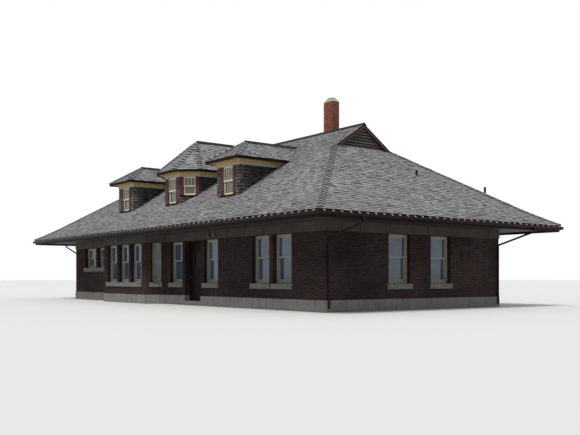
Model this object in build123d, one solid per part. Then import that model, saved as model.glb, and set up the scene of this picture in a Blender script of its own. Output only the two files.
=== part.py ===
from build123d import *
import math
import os

# Brick railway station building with a wide bell-cast hipped roof.
# Millimetres. The front, on the track side, faces -Y. The origin is the middle
# of the wall rectangle at ground level.

# Main sizes
LENGTH = 21300
WIDTH = 9100
WALL = 400
FLOOR_LEVEL = 180
PLINTH_TOP = 400
PLINTH_PROJECTION = 25
WINDOW_TOP = 2700
FRIEZE_GAP = 20
FRIEZE_HEIGHT = 330
FRIEZE_BOARD = 25
CEILING_DEPTH = 180

# Bay on the front wall, with 45 degree sides
BAY_GAP = 315
BAY_PROJECTION = 700
BAY_FRONT = 4400

# Main roof, its edge and gutter
OVERHANG = 1700
EAVE_RISE = 180
PITCH = 33.4
FLARE_RUN = 1220
FLARE_LIFT = 100
ROOF_THICKNESS = 150
GABLET_INSET = 4806
RAKE_OVERHANG = 80
RAKE_BOARD = (25, 150)
GABLET_BOARDING = 50
SOFFIT_BOARD = 22
FASCIA_BOARD = 25
FASCIA_SETBACK = 30
FASCIA_DROP = 84
GUTTER_SIZE = 80
GUTTER_DEPTH = 110
GUTTER_WALL = 4
GUTTER_ROUND = 50
GUTTER_DROP = 70

# Windows of the ground floor
WINDOW_WIDTH = 1090
WINDOW_BOTTOM = 945
MEETING_RAIL = 1890
SMALL_WINDOW_WIDTH = 1400
SMALL_WINDOW_BOTTOM = 1690
BAY_WINDOW_WIDTH = 1050
BAY_SIDE_WINDOW_WIDTH = 450
WINDOW_PIER = 235
WINDOW_SETBACK = 165
FRAME_DEPTH = 130
FRAME_FACE = 60
WOOD_SILL = 65
STILE = 55
BOTTOM_RAIL = 80
SASH_THICKNESS = 38
GLASS_THICKNESS = 6
SILL_HEIGHT = 200
SILL_PROJECTION = 60
SILL_FALL = 12
SILL_DEPTH_IN_WALL = 200
SILL_LUG = 75

# Doorways, one on the front and one on the rear
DOORWAY_WIDTH = 1290
DOOR_SETBACK = 250
DOOR_FRAME_FACE = 65
DOOR_HEIGHT = 2100
DOOR_THICKNESS = 45
DOOR_CLEARANCE = 6
DOOR_STOP = 12
TRANSOM_RAIL = 70
DOOR_GLASS_WIDTH = 420
DOOR_GLASS_HEIGHT = 580
DOOR_GLASS_TOP_RAIL = 110
DOOR_PANEL_DEPTH = 12
TRANSOM_PANEL_THICKNESS = 20
HANDLE_INSET = 80
HANDLE_HEIGHT = 990
HANDLE_PLATE = (56, 4, 160)
KNOB_RADIUS = 26
KNOB_NECK = (9, 40)
HINGE_PIN_RADIUS = 6
HINGE_HEAD = (8, 6)
HINGE_BORE_CLEARANCE = 0.3
HINGE_BARREL_RADIUS = 10
HINGE_HEIGHT = 100
HINGE_END_DISTANCE = 250
HINGE_PLATE = (60, 4)
HINGE_PLAY = 2

# Positions along the front and the ends
LEFT_MARGIN = 1280
BAY_TO_WINDOW = 290
RIGHT_PAIR_INSET = 3040
END_WINDOW_SPACING = 2180

# Dormers
DORMER_WALL = 120
DORMER_SETBACK = 150
DORMER_EAVE = 350
DORMER_RISE = 2595
DORMER_ROOF_THICKNESS = 60
DORMER_SOFFIT_DROP = 90
DORMER_FASCIA_DROP = 113
DORMER_FASCIA_SETBACK = 15
DORMER_FRIEZE_DROP = 285
DORMER_FRIEZE_BOARD = 22
BED_MOULD = (30, 50)
SQUARE_DORMER_CENTRES = (-4640, 4540)
SQUARE_DORMER_WIDTH = 1630
OCTAGON_DORMER_CENTRE = 15
OCTAGON_DORMER_FRONT = 1290
OCTAGON_DORMER_CANT = 620
OCTAGON_RIDGE_RISE = 25
DORMER_WINDOW_WIDTH = 730
DORMER_SIDE_WINDOW_WIDTH = 540
DORMER_SILL_GAP = 12
CASING_WIDTH = 165
CASING_SILL = 30
CASING_THICKNESS = 28
DORMER_SASH_SETBACK = 20
DORMER_STILE = 50

# Chimney, pipes and lamps
CHIMNEY = (586, 370)
CHIMNEY_NEAR_CORNER = (5370, 300)
CHIMNEY_RISE = 1400
CHIMNEY_CAP = 130
CHIMNEY_CAP_LEDGE = 30
CHIMNEY_POT = (300, 200)
CHIMNEY_POT_RISE = 170
CHIMNEY_POT_WALL = 25
VENT_RADIUS = 45
# Each vent's distance in from the right wall, its Y and its rise above the roof
VENTS = ((1350, 1230, 200), (473, 4288, 400))
DOWNSPOUT_RADIUS = 37
DOWNSPOUT_INSET = 110
DOWNSPOUT_DROP = 130
DOWNSPOUT_BEND_DROP = 600
DOWNSPOUT_FOOT = 120
LAMP_RADIUS = 55
LAMP_LENGTH = 150
LAMP_STEM = (12, 80)
LAMP_DISTANCE = 120
BAY_LAMP = 1660
DOOR_LAMPS = (1370, 1800)

# Levels that follow from the sizes above
FRIEZE_BOTTOM = WINDOW_TOP + FRIEZE_GAP
FRIEZE_TOP = FRIEZE_BOTTOM + FRIEZE_HEIGHT
SOFFIT_TOP = FRIEZE_TOP + SOFFIT_BOARD
ATTIC_LEVEL = SOFFIT_TOP + CEILING_DEPTH
FASCIA_BOTTOM = FRIEZE_TOP - FASCIA_DROP
EAVE_LEVEL = FRIEZE_TOP + EAVE_RISE
GUTTER_TOP = EAVE_LEVEL - GUTTER_DROP
GUTTER_BOTTOM = GUTTER_TOP - GUTTER_DEPTH
DOOR_HEAD = FLOOR_LEVEL + DOOR_HEIGHT + 2 * DOOR_CLEARANCE
DORMER_EAVE_LEVEL = EAVE_LEVEL + DORMER_RISE
DORMER_SOFFIT_LEVEL = DORMER_EAVE_LEVEL - DORMER_SOFFIT_DROP
DORMER_FASCIA_BOTTOM = DORMER_EAVE_LEVEL - DORMER_FASCIA_DROP
DORMER_FRIEZE_BOTTOM = DORMER_EAVE_LEVEL - DORMER_FRIEZE_DROP

# Places that follow from the sizes above
SLOPE = math.tan(math.radians(PITCH))
HALF_LENGTH = LENGTH / 2
HALF_WIDTH = WIDTH / 2
HALF_EAVE_LENGTH = HALF_LENGTH + OVERHANG
HALF_EAVE_WIDTH = HALF_WIDTH + OVERHANG
SMALL_WINDOWS_END = LEFT_MARGIN + 2 * SMALL_WINDOW_WIDTH + WINDOW_PIER
BAY_START = SMALL_WINDOWS_END + BAY_GAP
BAY_END = BAY_START + BAY_FRONT + 2 * BAY_PROJECTION
DOORWAY_CENTRE = BAY_END + BAY_TO_WINDOW + WINDOW_WIDTH + WINDOW_PIER + DOORWAY_WIDTH / 2
RIGHT_PAIR_CENTRE = LENGTH - RIGHT_PAIR_INSET
GABLET_X = HALF_EAVE_LENGTH - GABLET_INSET
DORMER_FRONT_Y = -HALF_WIDTH + DORMER_SETBACK
RIDGE_LEVEL = EAVE_LEVEL - FLARE_LIFT + SLOPE * HALF_EAVE_WIDTH
CHIMNEY_TOP = RIDGE_LEVEL + CHIMNEY_RISE
ABOVE_ROOF = 2 * RIDGE_LEVEL


# Plan outlines

def wall_corners():
    """Outer corners of the brick walls, anticlockwise from the front left one."""
    left, right, front, rear = -HALF_LENGTH, HALF_LENGTH, -HALF_WIDTH, HALF_WIDTH
    bay_left = left + BAY_START
    bay_right = left + BAY_END
    bay_front = front - BAY_PROJECTION
    return [
        (left, front),
        (bay_left, front),
        (bay_left + BAY_PROJECTION, bay_front),
        (bay_right - BAY_PROJECTION, bay_front),
        (bay_right, front),
        (right, front),
        (right, rear),
        (left, rear),
    ]


def shifted(corners, distance):
    """The closed outline moved out by a distance, or in by a negative one."""
    result = []
    for index, corner in enumerate(corners):
        before = corners[index - 1]
        after = corners[(index + 1) % len(corners)]
        first = math.atan2(corner[1] - before[1], corner[0] - before[0])
        second = math.atan2(after[1] - corner[1], after[0] - corner[0])
        outward = Vector(math.sin(first), -math.cos(first))
        next_outward = Vector(math.sin(second), -math.cos(second))
        middle = (outward + next_outward) / 2
        move = middle * (distance / middle.dot(middle))
        result.append((corner[0] + move.X, corner[1] + move.Y))
    return result


def slab(corners, bottom, top):
    """A flat-sided solid with the given plan, between two levels."""
    plan = make_face(Polyline(*corners, close=True))
    return extrude(Pos(0, 0, bottom) * plan, amount=top - bottom)


def block(low, high):
    """A box between two corners."""
    size = [high[i] - low[i] for i in range(3)]
    middle = [(high[i] + low[i]) / 2 for i in range(3)]
    return Pos(*middle) * Box(*size)


def ring(outer, inner, bottom, top):
    """A closed band round the walls between two offsets from the brick face."""
    corners = wall_corners()
    return slab(shifted(corners, outer), bottom, top) - slab(shifted(corners, inner), bottom, top)


def mitred_run(corners, index, outer, inner, bottom, top):
    """One straight run of a band round an outline, mitred at its corners."""
    outside = shifted(corners, outer)
    inside = shifted(corners, inner)
    following = (index + 1) % len(corners)
    plan = [outside[index], outside[following], inside[following], inside[index]]
    return slab(plan, bottom, top)


def wall_run(index, outer, inner, bottom, top):
    """One run of a band round the walls, between two offsets from the brick face."""
    return mitred_run(wall_corners(), index, outer, inner, bottom, top)


FRONT_LEFT, BAY_LEFT, BAY_FACE, BAY_RIGHT, FRONT_RIGHT, RIGHT_END, REAR, LEFT_END = range(8)


def wall_place(index):
    """Places a shape drawn on a wall: X along it seen from outside, Y into it, Z up."""
    corners = wall_corners()
    start = corners[index]
    finish = corners[(index + 1) % len(corners)]
    angle = math.degrees(math.atan2(finish[1] - start[1], finish[0] - start[0]))
    return Pos(start[0], start[1], 0) * Rot(0, 0, angle)


def wall_length(index):
    corners = wall_corners()
    start = corners[index]
    finish = corners[(index + 1) % len(corners)]
    return math.hypot(finish[0] - start[0], finish[1] - start[1])


# Windows

def window(wall, centre, width, bottom, rail):
    """One window: its wall, its middle along it, its width and its levels."""
    return {"wall": wall, "centre": centre, "width": width, "bottom": bottom, "rail": rail}


def pair_centres(middle, width, pier=WINDOW_PIER):
    """Centres of two windows with one pier between them."""
    reach = (width + pier) / 2
    return [middle - reach, middle + reach]


def ground_windows():
    """Every window of the ground floor."""
    small_rail = (SMALL_WINDOW_BOTTOM + WINDOW_TOP) / 2
    small_middle = (LEFT_MARGIN + SMALL_WINDOWS_END) / 2
    windows = [
        window(FRONT_LEFT, centre, SMALL_WINDOW_WIDTH, SMALL_WINDOW_BOTTOM, small_rail)
        for centre in pair_centres(small_middle, SMALL_WINDOW_WIDTH)
    ]
    for step in (-1, 0, 1):
        centre = BAY_FRONT / 2 + step * (BAY_WINDOW_WIDTH + WINDOW_PIER)
        windows.append(window(BAY_FACE, centre, BAY_WINDOW_WIDTH, WINDOW_BOTTOM, MEETING_RAIL))
    for wall in (BAY_LEFT, BAY_RIGHT):
        middle = wall_length(wall) / 2
        windows.append(window(wall, middle, BAY_SIDE_WINDOW_WIDTH, WINDOW_BOTTOM, MEETING_RAIL))
    beside_door = DOORWAY_WIDTH / 2 + WINDOW_PIER + WINDOW_WIDTH / 2
    front_centres = [DOORWAY_CENTRE - beside_door, DOORWAY_CENTRE + beside_door]
    front_centres += pair_centres(RIGHT_PAIR_CENTRE, WINDOW_WIDTH)
    for centre in front_centres:
        windows.append(window(FRONT_RIGHT, centre - BAY_END, WINDOW_WIDTH, WINDOW_BOTTOM, MEETING_RAIL))
    for wall in (RIGHT_END, LEFT_END):
        for side in (-1, 1):
            centre = HALF_WIDTH + side * END_WINDOW_SPACING / 2
            windows.append(window(wall, centre, WINDOW_WIDTH, WINDOW_BOTTOM, MEETING_RAIL))
    rear_centres = pair_centres(RIGHT_PAIR_INSET, WINDOW_WIDTH)
    rear_centres += [LENGTH - centre for centre in front_centres[:2]]
    rear_centres += pair_centres(RIGHT_PAIR_CENTRE, WINDOW_WIDTH)
    for centre in rear_centres:
        windows.append(window(REAR, centre, WINDOW_WIDTH, WINDOW_BOTTOM, MEETING_RAIL))
    return windows


def window_hole(item):
    half = item["width"] / 2
    hole = block(
        (item["centre"] - half, -SILL_PROJECTION, item["bottom"]),
        (item["centre"] + half, 2 * WALL, WINDOW_TOP),
    )
    return wall_place(item["wall"]) * hole


def sill_shape(wall, left, right, bottom):
    """A stone sill with a weathered top in front of the frame."""
    low = bottom - SILL_HEIGHT
    profile = make_face(
        Polyline(
            (-SILL_PROJECTION, low),
            (SILL_DEPTH_IN_WALL, low),
            (SILL_DEPTH_IN_WALL, bottom),
            (0, bottom),
            (-SILL_PROJECTION, bottom - SILL_FALL),
            close=True,
        )
    )
    stone = extrude(Plane.YZ * profile, amount=right - left)
    return wall_place(wall) * (Pos(left, 0, 0) * stone)


def sill_runs():
    """Stone sills: one for each window, or one long one where windows share it."""
    runs = []
    shared = {}
    for item in ground_windows():
        if item["wall"] in (BAY_FACE, FRONT_LEFT):
            shared.setdefault(item["wall"], []).append(item)
        else:
            runs.append([item])
    return runs + list(shared.values())


def sills():
    stones = []
    for run in sill_runs():
        left = min(item["centre"] - item["width"] / 2 for item in run) - SILL_LUG
        right = max(item["centre"] + item["width"] / 2 for item in run) + SILL_LUG
        stones.append(sill_shape(run[0]["wall"], left, right, run[0]["bottom"]))
    return stones


def hollow_frame(width, bottom, top, face, lower_face, front, depth):
    """A rectangular frame centred on X = 0, with its own depth into the wall."""
    outside = block((-width / 2, front, bottom), (width / 2, front + depth, top))
    inside = block(
        (-width / 2 + face, front - 1, bottom + lower_face),
        (width / 2 - face, front + depth + 1, top - face),
    )
    return outside - inside


def sash_parts(width, bottom, rail, top, stile, front):
    """Upper and lower sash and their panes, the lower one behind the upper one."""
    overlap = STILE / 2
    upper = hollow_frame(width, rail - overlap, top, stile, STILE, front, SASH_THICKNESS)
    lower_front = front + SASH_THICKNESS
    lower_rail = BOTTOM_RAIL
    lower = hollow_frame(width, bottom, rail + overlap, stile, lower_rail, lower_front, SASH_THICKNESS)
    pane_inset = (SASH_THICKNESS - GLASS_THICKNESS) / 2
    half = width / 2 - stile
    upper_pane = block(
        (-half, front + pane_inset, rail - overlap + STILE),
        (half, front + pane_inset + GLASS_THICKNESS, top - stile),
    )
    lower_pane = block(
        (-half, lower_front + pane_inset, bottom + lower_rail),
        (half, lower_front + pane_inset + GLASS_THICKNESS, rail + overlap - stile),
    )
    return [upper, lower], [upper_pane, lower_pane]


def ground_window_parts():
    """Frames, sashes and panes of all the ground floor windows."""
    frames, sashes, panes = [], [], []
    for item in ground_windows():
        place = wall_place(item["wall"]) * Pos(item["centre"], 0, 0)
        frame = hollow_frame(
            item["width"], item["bottom"], WINDOW_TOP, FRAME_FACE, WOOD_SILL, WINDOW_SETBACK, FRAME_DEPTH
        )
        frames.append(place * frame)
        clear_width = item["width"] - 2 * FRAME_FACE
        front = WINDOW_SETBACK + (FRAME_DEPTH - 2 * SASH_THICKNESS) / 2
        sash, pane = sash_parts(
            clear_width, item["bottom"] + WOOD_SILL, item["rail"], WINDOW_TOP - FRAME_FACE, STILE, front
        )
        sashes += [place * shape for shape in sash]
        panes += [place * shape for shape in pane]
    return frames, sashes, panes


# Doors

def doorway_place(wall):
    """The middle of a doorway on the outer face of its wall."""
    along = DOORWAY_CENTRE - BAY_END if wall == FRONT_RIGHT else LENGTH - DOORWAY_CENTRE
    return wall_place(wall) * Pos(along, 0, 0)


def doorway_hole(wall):
    half = DOORWAY_WIDTH / 2
    return doorway_place(wall) * block((-half, -WALL, -1), (half, 2 * WALL, WINDOW_TOP))


def door_step(wall):
    """Threshold slab that closes the gap in the plinth at a doorway."""
    half = DOORWAY_WIDTH / 2
    front = -PLINTH_PROJECTION
    return doorway_place(wall) * block((-half, front, 0), (half, WALL, FLOOR_LEVEL))


def door_frame(wall):
    """Jambs, head and transom rail, with a stop that the leaf closes against."""
    half = DOORWAY_WIDTH / 2
    front = DOOR_SETBACK - DOOR_STOP - DOOR_CLEARANCE
    back = DOOR_SETBACK + DOOR_THICKNESS
    outside = block((-half, front, FLOOR_LEVEL), (half, back, WINDOW_TOP))
    leaf_gap = half - DOOR_FRAME_FACE
    rebate = block((-leaf_gap, DOOR_SETBACK - DOOR_CLEARANCE, -1), (leaf_gap, back + 1, DOOR_HEAD))
    stop = DOOR_STOP + DOOR_CLEARANCE
    through_half = leaf_gap - stop
    through = block((-through_half, front - 1, -1), (through_half, back + 1, DOOR_HEAD - stop))
    light = block(
        (-leaf_gap, front - 1, DOOR_HEAD + TRANSOM_RAIL),
        (leaf_gap, back + 1, WINDOW_TOP - DOOR_FRAME_FACE),
    )
    return doorway_place(wall) * (outside - rebate - through - light)


def transom_panel(wall):
    """Solid panel that fills the frame over a door."""
    leaf_gap = DOORWAY_WIDTH / 2 - DOOR_FRAME_FACE
    front = DOOR_SETBACK + (DOOR_THICKNESS - TRANSOM_PANEL_THICKNESS) / 2
    return doorway_place(wall) * block(
        (-leaf_gap, front, DOOR_HEAD + TRANSOM_RAIL),
        (leaf_gap, front + TRANSOM_PANEL_THICKNESS, WINDOW_TOP - DOOR_FRAME_FACE),
    )


def door_leaf_box():
    half = DOORWAY_WIDTH / 2 - DOOR_FRAME_FACE - DOOR_CLEARANCE
    bottom = FLOOR_LEVEL + DOOR_CLEARANCE
    return half, bottom, bottom + DOOR_HEIGHT


def door_leaf(wall):
    """Door with sunk lower panels and one glazed light."""
    half, bottom, top = door_leaf_box()
    leaf = block((-half, DOOR_SETBACK, bottom), (half, DOOR_SETBACK + DOOR_THICKNESS, top))
    glass_top = top - DOOR_GLASS_TOP_RAIL
    light_half = DOOR_GLASS_WIDTH / 2
    leaf -= block(
        (-light_half, 0, glass_top - DOOR_GLASS_HEIGHT), (light_half, WALL, glass_top)
    )
    rail = DOOR_GLASS_TOP_RAIL
    panel_bottom = bottom + 2 * rail
    panel_top = glass_top - DOOR_GLASS_HEIGHT - rail
    panel_middle = (panel_bottom + panel_top) / 2
    faces = ((DOOR_SETBACK, 1), (DOOR_SETBACK + DOOR_THICKNESS, -1))
    for low, high in ((panel_bottom, panel_middle - rail / 2), (panel_middle + rail / 2, panel_top)):
        for side in (-1, 1):
            near = side * rail / 2
            far = side * (half - rail)
            left, right = min(near, far), max(near, far)
            for face, inward in faces:
                depths = sorted((face, face + inward * DOOR_PANEL_DEPTH))
                leaf -= block((left, depths[0], low), (right, depths[1], high))
    return doorway_place(wall) * leaf


def door_glass(wall):
    half, bottom, top = door_leaf_box()
    glass_top = top - DOOR_GLASS_TOP_RAIL
    light_half = DOOR_GLASS_WIDTH / 2
    middle = DOOR_SETBACK + DOOR_THICKNESS / 2
    return doorway_place(wall) * block(
        (-light_half, middle - GLASS_THICKNESS / 2, glass_top - DOOR_GLASS_HEIGHT),
        (light_half, middle + GLASS_THICKNESS / 2, glass_top),
    )


def door_handle(wall):
    """A back plate and a knob on each face of the door, at the latch side."""
    half, bottom, top = door_leaf_box()
    along = -half + HANDLE_INSET
    level = FLOOR_LEVEL + HANDLE_HEIGHT
    width, thickness, height = HANDLE_PLATE
    neck_radius, neck_length = KNOB_NECK
    shapes = []
    for face, outward in ((DOOR_SETBACK, -1), (DOOR_SETBACK + DOOR_THICKNESS, 1)):
        plate = Pos(along, face + outward * thickness / 2, level) * Box(width, thickness, height)
        neck_middle = face + outward * neck_length / 2
        neck = Pos(along, neck_middle, level) * Rot(90, 0, 0) * Cylinder(neck_radius, neck_length)
        knob = Pos(along, face + outward * (neck_length + KNOB_RADIUS / 2), level) * Sphere(KNOB_RADIUS)
        shapes.append(doorway_place(wall) * (plate + neck + knob))
    return shapes


def hinge_axis():
    """Hinge pin centre in the doorway's own X and Y: just inside, on the right-hand jamb."""
    half = DOORWAY_WIDTH / 2 - DOOR_FRAME_FACE
    return half - DOOR_CLEARANCE / 2, DOOR_SETBACK + DOOR_THICKNESS + HINGE_BARREL_RADIUS


def hinge_levels():
    half, bottom, top = door_leaf_box()
    return [bottom + HINGE_END_DISTANCE, (bottom + top) / 2, top - HINGE_END_DISTANCE]


def hinge_pins(wall):
    """Pin for each hinge, hung from a plate on the jamb."""
    x, y = hinge_axis()
    jamb = DOORWAY_WIDTH / 2 - DOOR_FRAME_FACE
    reach, thickness = HINGE_PLATE
    head_radius, head_height = HINGE_HEAD
    pins = []
    for level in hinge_levels():
        top = level + HINGE_HEIGHT / 2
        pin = Pos(x, y, level) * Cylinder(HINGE_PIN_RADIUS, HINGE_HEIGHT)
        head = Pos(x, y, top + head_height / 2) * Cylinder(head_radius, head_height)
        front = y - HINGE_BARREL_RADIUS
        plate = block((x, front, top), (jamb + reach, front + thickness, top + head_height))
        pins.append(doorway_place(wall) * (pin + head + plate))
    return pins


def hinge_barrels(wall):
    """Barrel and leaf plate on the door for each hinge."""
    x, y = hinge_axis()
    reach, thickness = HINGE_PLATE
    barrels = []
    for level in hinge_levels():
        top = level + HINGE_HEIGHT / 2 - HINGE_PLAY
        bottom = level - HINGE_HEIGHT / 2
        barrel = Pos(x, y, (bottom + top) / 2) * Cylinder(HINGE_BARREL_RADIUS, top - bottom)
        front = y - HINGE_BARREL_RADIUS
        plate = block((x - reach, front, bottom), (x, front + thickness, top))
        bore = Pos(x, y, level) * Cylinder(HINGE_PIN_RADIUS + HINGE_BORE_CLEARANCE, 2 * HINGE_HEIGHT)
        barrels.append(doorway_place(wall) * (barrel + plate - bore))
    return barrels


# Base and walls

def cut_openings(shape, index):
    """Cuts the windows and sills of one wall out of a piece of it."""
    for item in ground_windows():
        if item["wall"] == index:
            shape -= window_hole(item)
    for run, stone in zip(sill_runs(), sills()):
        if run[0]["wall"] == index:
            shape -= stone
    return shape


def brick_run(index):
    return cut_openings(wall_run(index, 0, -WALL, PLINTH_TOP, SOFFIT_TOP), index)


def doorway_column(wall, bottom, top):
    """The full-height volume of a doorway, for taking a wall apart there."""
    half = DOORWAY_WIDTH / 2
    return doorway_place(wall) * block((-half, -WALL, bottom), (half, 2 * WALL, top))


def by_position(shape):
    return sorted(shape.solids(), key=lambda solid: solid.center().X)


def plinth_run(index):
    return wall_run(index, PLINTH_PROJECTION, -WALL, 0, PLINTH_TOP)


def floor_plate():
    """Ground floor between the plinths."""
    return slab(shifted(wall_corners(), -WALL), 0, FLOOR_LEVEL)


# Main roof

def slope_outline(half_span, drop, base, top=None):
    """Half profiles of the bell-cast roof on both sides, closed at the base.

    With no top level the slopes meet at the ridge. Drop lowers the whole surface.
    """
    rise = SLOPE * FLARE_RUN - FLARE_LIFT
    eave = (half_span, EAVE_LEVEL - drop)
    knee = (half_span - FLARE_RUN, EAVE_LEVEL + rise - drop)
    if top is None:
        crown = [(0, knee[1] + SLOPE * knee[0])]
    else:
        reach = knee[0] - (top - knee[1]) / SLOPE
        crown = [(reach, top), (-reach, top)]
    down = (math.cos(math.radians(PITCH)), -math.sin(math.radians(PITCH)))
    right_flare = TangentArc(knee, eave, tangent=down)
    left_flare = mirror(right_flare, about=Plane.YZ)
    left_knee = (-knee[0], knee[1])
    upper = Polyline(knee, *crown, left_knee)
    lower = Polyline((-eave[0], eave[1]), (-eave[0], base), (eave[0], base), eave)
    return make_face(right_flare.edges() + upper.edges() + left_flare.edges() + lower.edges())


def cross_prism(drop, base):
    """The two long slopes, running the whole length."""
    outline = slope_outline(HALF_EAVE_WIDTH, drop, base)
    return extrude(Plane.YZ * outline, amount=HALF_EAVE_LENGTH, both=True)


def end_prism(drop, base):
    """The two end slopes, running the whole width and carried up past the ridge."""
    outline = slope_outline(HALF_EAVE_LENGTH, drop, base, top=ABOVE_ROOF)
    return extrude(Plane.XZ * outline, amount=HALF_EAVE_WIDTH, both=True)


def length_slice(reach):
    """Everything within a distance of the middle of the building's length."""
    return block((-reach, -2 * WIDTH, 0), (reach, 2 * WIDTH, 2 * ABOVE_ROOF))


def under_roof(shape):
    """The part of a shape that lies under the inside of the roof."""
    base = FASCIA_BOTTOM - 2 * ROOF_THICKNESS
    return (shape & cross_prism(ROOF_THICKNESS, base)) & end_prism(ROOF_THICKNESS, base)


def main_roof(holes):
    """Bell-cast hipped shell, open at the gablets, with holes for dormers and chimney."""
    base = EAVE_LEVEL - ROOF_THICKNESS
    low = base - ROOF_THICKNESS
    long_outer = cross_prism(0, base)
    long_inner = cross_prism(ROOF_THICKNESS, low)
    hipped = (long_outer & end_prism(0, base)) - (long_inner & end_prism(ROOF_THICKNESS, low))
    hipped -= length_slice(GABLET_X)
    gabled = (long_outer - long_inner) & length_slice(GABLET_X + RAKE_OVERHANG)
    shell = hipped + gabled
    for hole in holes:
        shell -= hole
    return shell


def surface_level(inset):
    """Level of the straight part of the roof surface at a distance in from the eave."""
    return EAVE_LEVEL - FLARE_LIFT + SLOPE * inset


def gablet_walls():
    """Boarded triangles that close the gablets."""
    inside = cross_prism(ROOF_THICKNESS, EAVE_LEVEL - 2 * ROOF_THICKNESS)
    bottom = surface_level(GABLET_INSET) - ROOF_THICKNESS
    walls = []
    for side in (-1, 1):
        ends = sorted((side * GABLET_X, side * (GABLET_X - GABLET_BOARDING)))
        sheet = block((ends[0], -HALF_WIDTH, bottom), (ends[1], HALF_WIDTH, ABOVE_ROOF))
        walls.append(sheet & inside)
    return walls


def gablet_rakes():
    """Boards along the sloping edges of the gablets."""
    thickness, depth = RAKE_BOARD
    base = EAVE_LEVEL - 4 * ROOF_THICKNESS
    band = cross_prism(0, base) - cross_prism(depth, base - ROOF_THICKNESS)
    body = end_prism(0, base)
    boards = []
    for side in (-1, 1):
        near = side * (GABLET_X + RAKE_OVERHANG)
        ends = sorted((near, near + side * thickness))
        piece = (band & block((ends[0], -WIDTH, 0), (ends[1], WIDTH, ABOVE_ROOF))) - body
        boards += piece.solids()
    return boards


# Eaves

def eave_frame(outer_inset, inner_inset, bottom, top):
    """A rectangular band round the eaves, by its distances in from the shingle edge."""
    shapes = []
    for inset in (outer_inset, inner_inset):
        x, y = HALF_EAVE_LENGTH - inset, HALF_EAVE_WIDTH - inset
        shapes.append(block((-x, -y, bottom), (x, y, top)))
    return shapes[0] - shapes[1]


def soffit():
    x = HALF_EAVE_LENGTH - FASCIA_SETBACK - FASCIA_BOARD
    y = HALF_EAVE_WIDTH - FASCIA_SETBACK - FASCIA_BOARD
    sheet = block((-x, -y, FRIEZE_TOP), (x, y, SOFFIT_TOP))
    return sheet - slab(wall_corners(), FRIEZE_TOP - 1, SOFFIT_TOP + 1)


def fascia():
    inner = FASCIA_SETBACK + FASCIA_BOARD
    return under_roof(eave_frame(FASCIA_SETBACK, inner, FASCIA_BOTTOM, EAVE_LEVEL))


def gutter_body(index, wall, top):
    """One side's gutter as a solid, rounded under its outer edge, drawn in by a wall thickness."""
    x, y = HALF_EAVE_LENGTH, HALF_EAVE_WIDTH
    corners = [(-x, -y), (x, -y), (x, y), (-x, y)]
    body = mitred_run(corners, index, GUTTER_SIZE - wall, wall, GUTTER_BOTTOM + wall, top)
    base = body.faces().sort_by(Axis.Z)[0]
    outer_edge = base.edges().sort_by(SortBy.LENGTH)[-1]
    return fillet(outer_edge, GUTTER_ROUND - wall)


def gutter_run(index):
    """One side's trough, hung on the edge of the roof just under the shingles."""
    return gutter_body(index, 0, GUTTER_TOP) - gutter_body(index, GUTTER_WALL, GUTTER_TOP + 1)


def attic_floor():
    """Ceiling and attic floor, carried out over the walls to the fascia."""
    x = HALF_EAVE_LENGTH - FASCIA_SETBACK - FASCIA_BOARD
    y = HALF_EAVE_WIDTH - FASCIA_SETBACK - FASCIA_BOARD
    return under_roof(block((-x, -y, SOFFIT_TOP), (x, y, ATTIC_LEVEL)))


# Dormers

def dormer(x, half_width, cant, slope):
    """One dormer: its middle along the front, its half width, its cut corners and slope."""
    return {"x": x, "half": half_width, "cant": cant, "slope": slope}


def dormers():
    """Two square ones and the octagonal one, whose ridge just clears the main ridge."""
    items = [dormer(x, SQUARE_DORMER_WIDTH / 2, 0, SLOPE) for x in SQUARE_DORMER_CENTRES]
    half = OCTAGON_DORMER_FRONT / 2 + OCTAGON_DORMER_CANT
    slope = (RIDGE_LEVEL + OCTAGON_RIDGE_RISE - DORMER_EAVE_LEVEL) / (half + DORMER_EAVE)
    items.append(dormer(OCTAGON_DORMER_CENTRE, half, OCTAGON_DORMER_CANT, slope))
    return items


def dormer_outline(item, offset, back=0):
    """Plan of a dormer, moved out by an offset and open to the ridge line behind it."""
    x, side = item["x"], item["half"] + offset
    front = DORMER_FRONT_Y - offset
    if not item["cant"]:
        return [(x - side, back), (x - side, front), (x + side, front), (x + side, back)]
    trim = offset * math.tan(math.radians(22.5))
    shoulder = DORMER_FRONT_Y + item["cant"] - trim
    corner = item["half"] - item["cant"] + trim
    return [
        (x - side, back),
        (x - side, shoulder),
        (x - corner, front),
        (x + corner, front),
        (x + side, shoulder),
        (x + side, back),
    ]


def dormer_band(item, outer, inner, bottom, top, roof_body):
    """A band round the front and sides of a dormer, down to the main roof."""
    outside = slab(dormer_outline(item, outer), bottom, top)
    inside = slab(dormer_outline(item, inner, back=1), bottom - 1, top + 1)
    return outside - inside - roof_body


def pitched_cap(item, drop, bottom):
    """Solid hipped cap over a dormer's eaves, closed behind on the ridge line."""
    plan = dormer_outline(item, DORMER_EAVE)
    cap = slab(plan, bottom, ABOVE_ROOF)
    for start, finish in zip(plan, plan[1:]):
        along = Vector(finish[0] - start[0], finish[1] - start[1]).normalized()
        outward = Vector(along.Y, -along.X)
        normal = Vector(outward.X * item["slope"], outward.Y * item["slope"], 1)
        cutter = Plane(origin=(start[0], start[1], DORMER_EAVE_LEVEL - drop), z_dir=normal)
        cap = split(cap, bisect_by=cutter, keep=Keep.BOTTOM)
    return cap


def dormer_roof(item, roof_body):
    base = DORMER_EAVE_LEVEL - DORMER_ROOF_THICKNESS
    inside = pitched_cap(item, DORMER_ROOF_THICKNESS, base - DORMER_ROOF_THICKNESS)
    return pitched_cap(item, 0, base) - inside - roof_body


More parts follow.
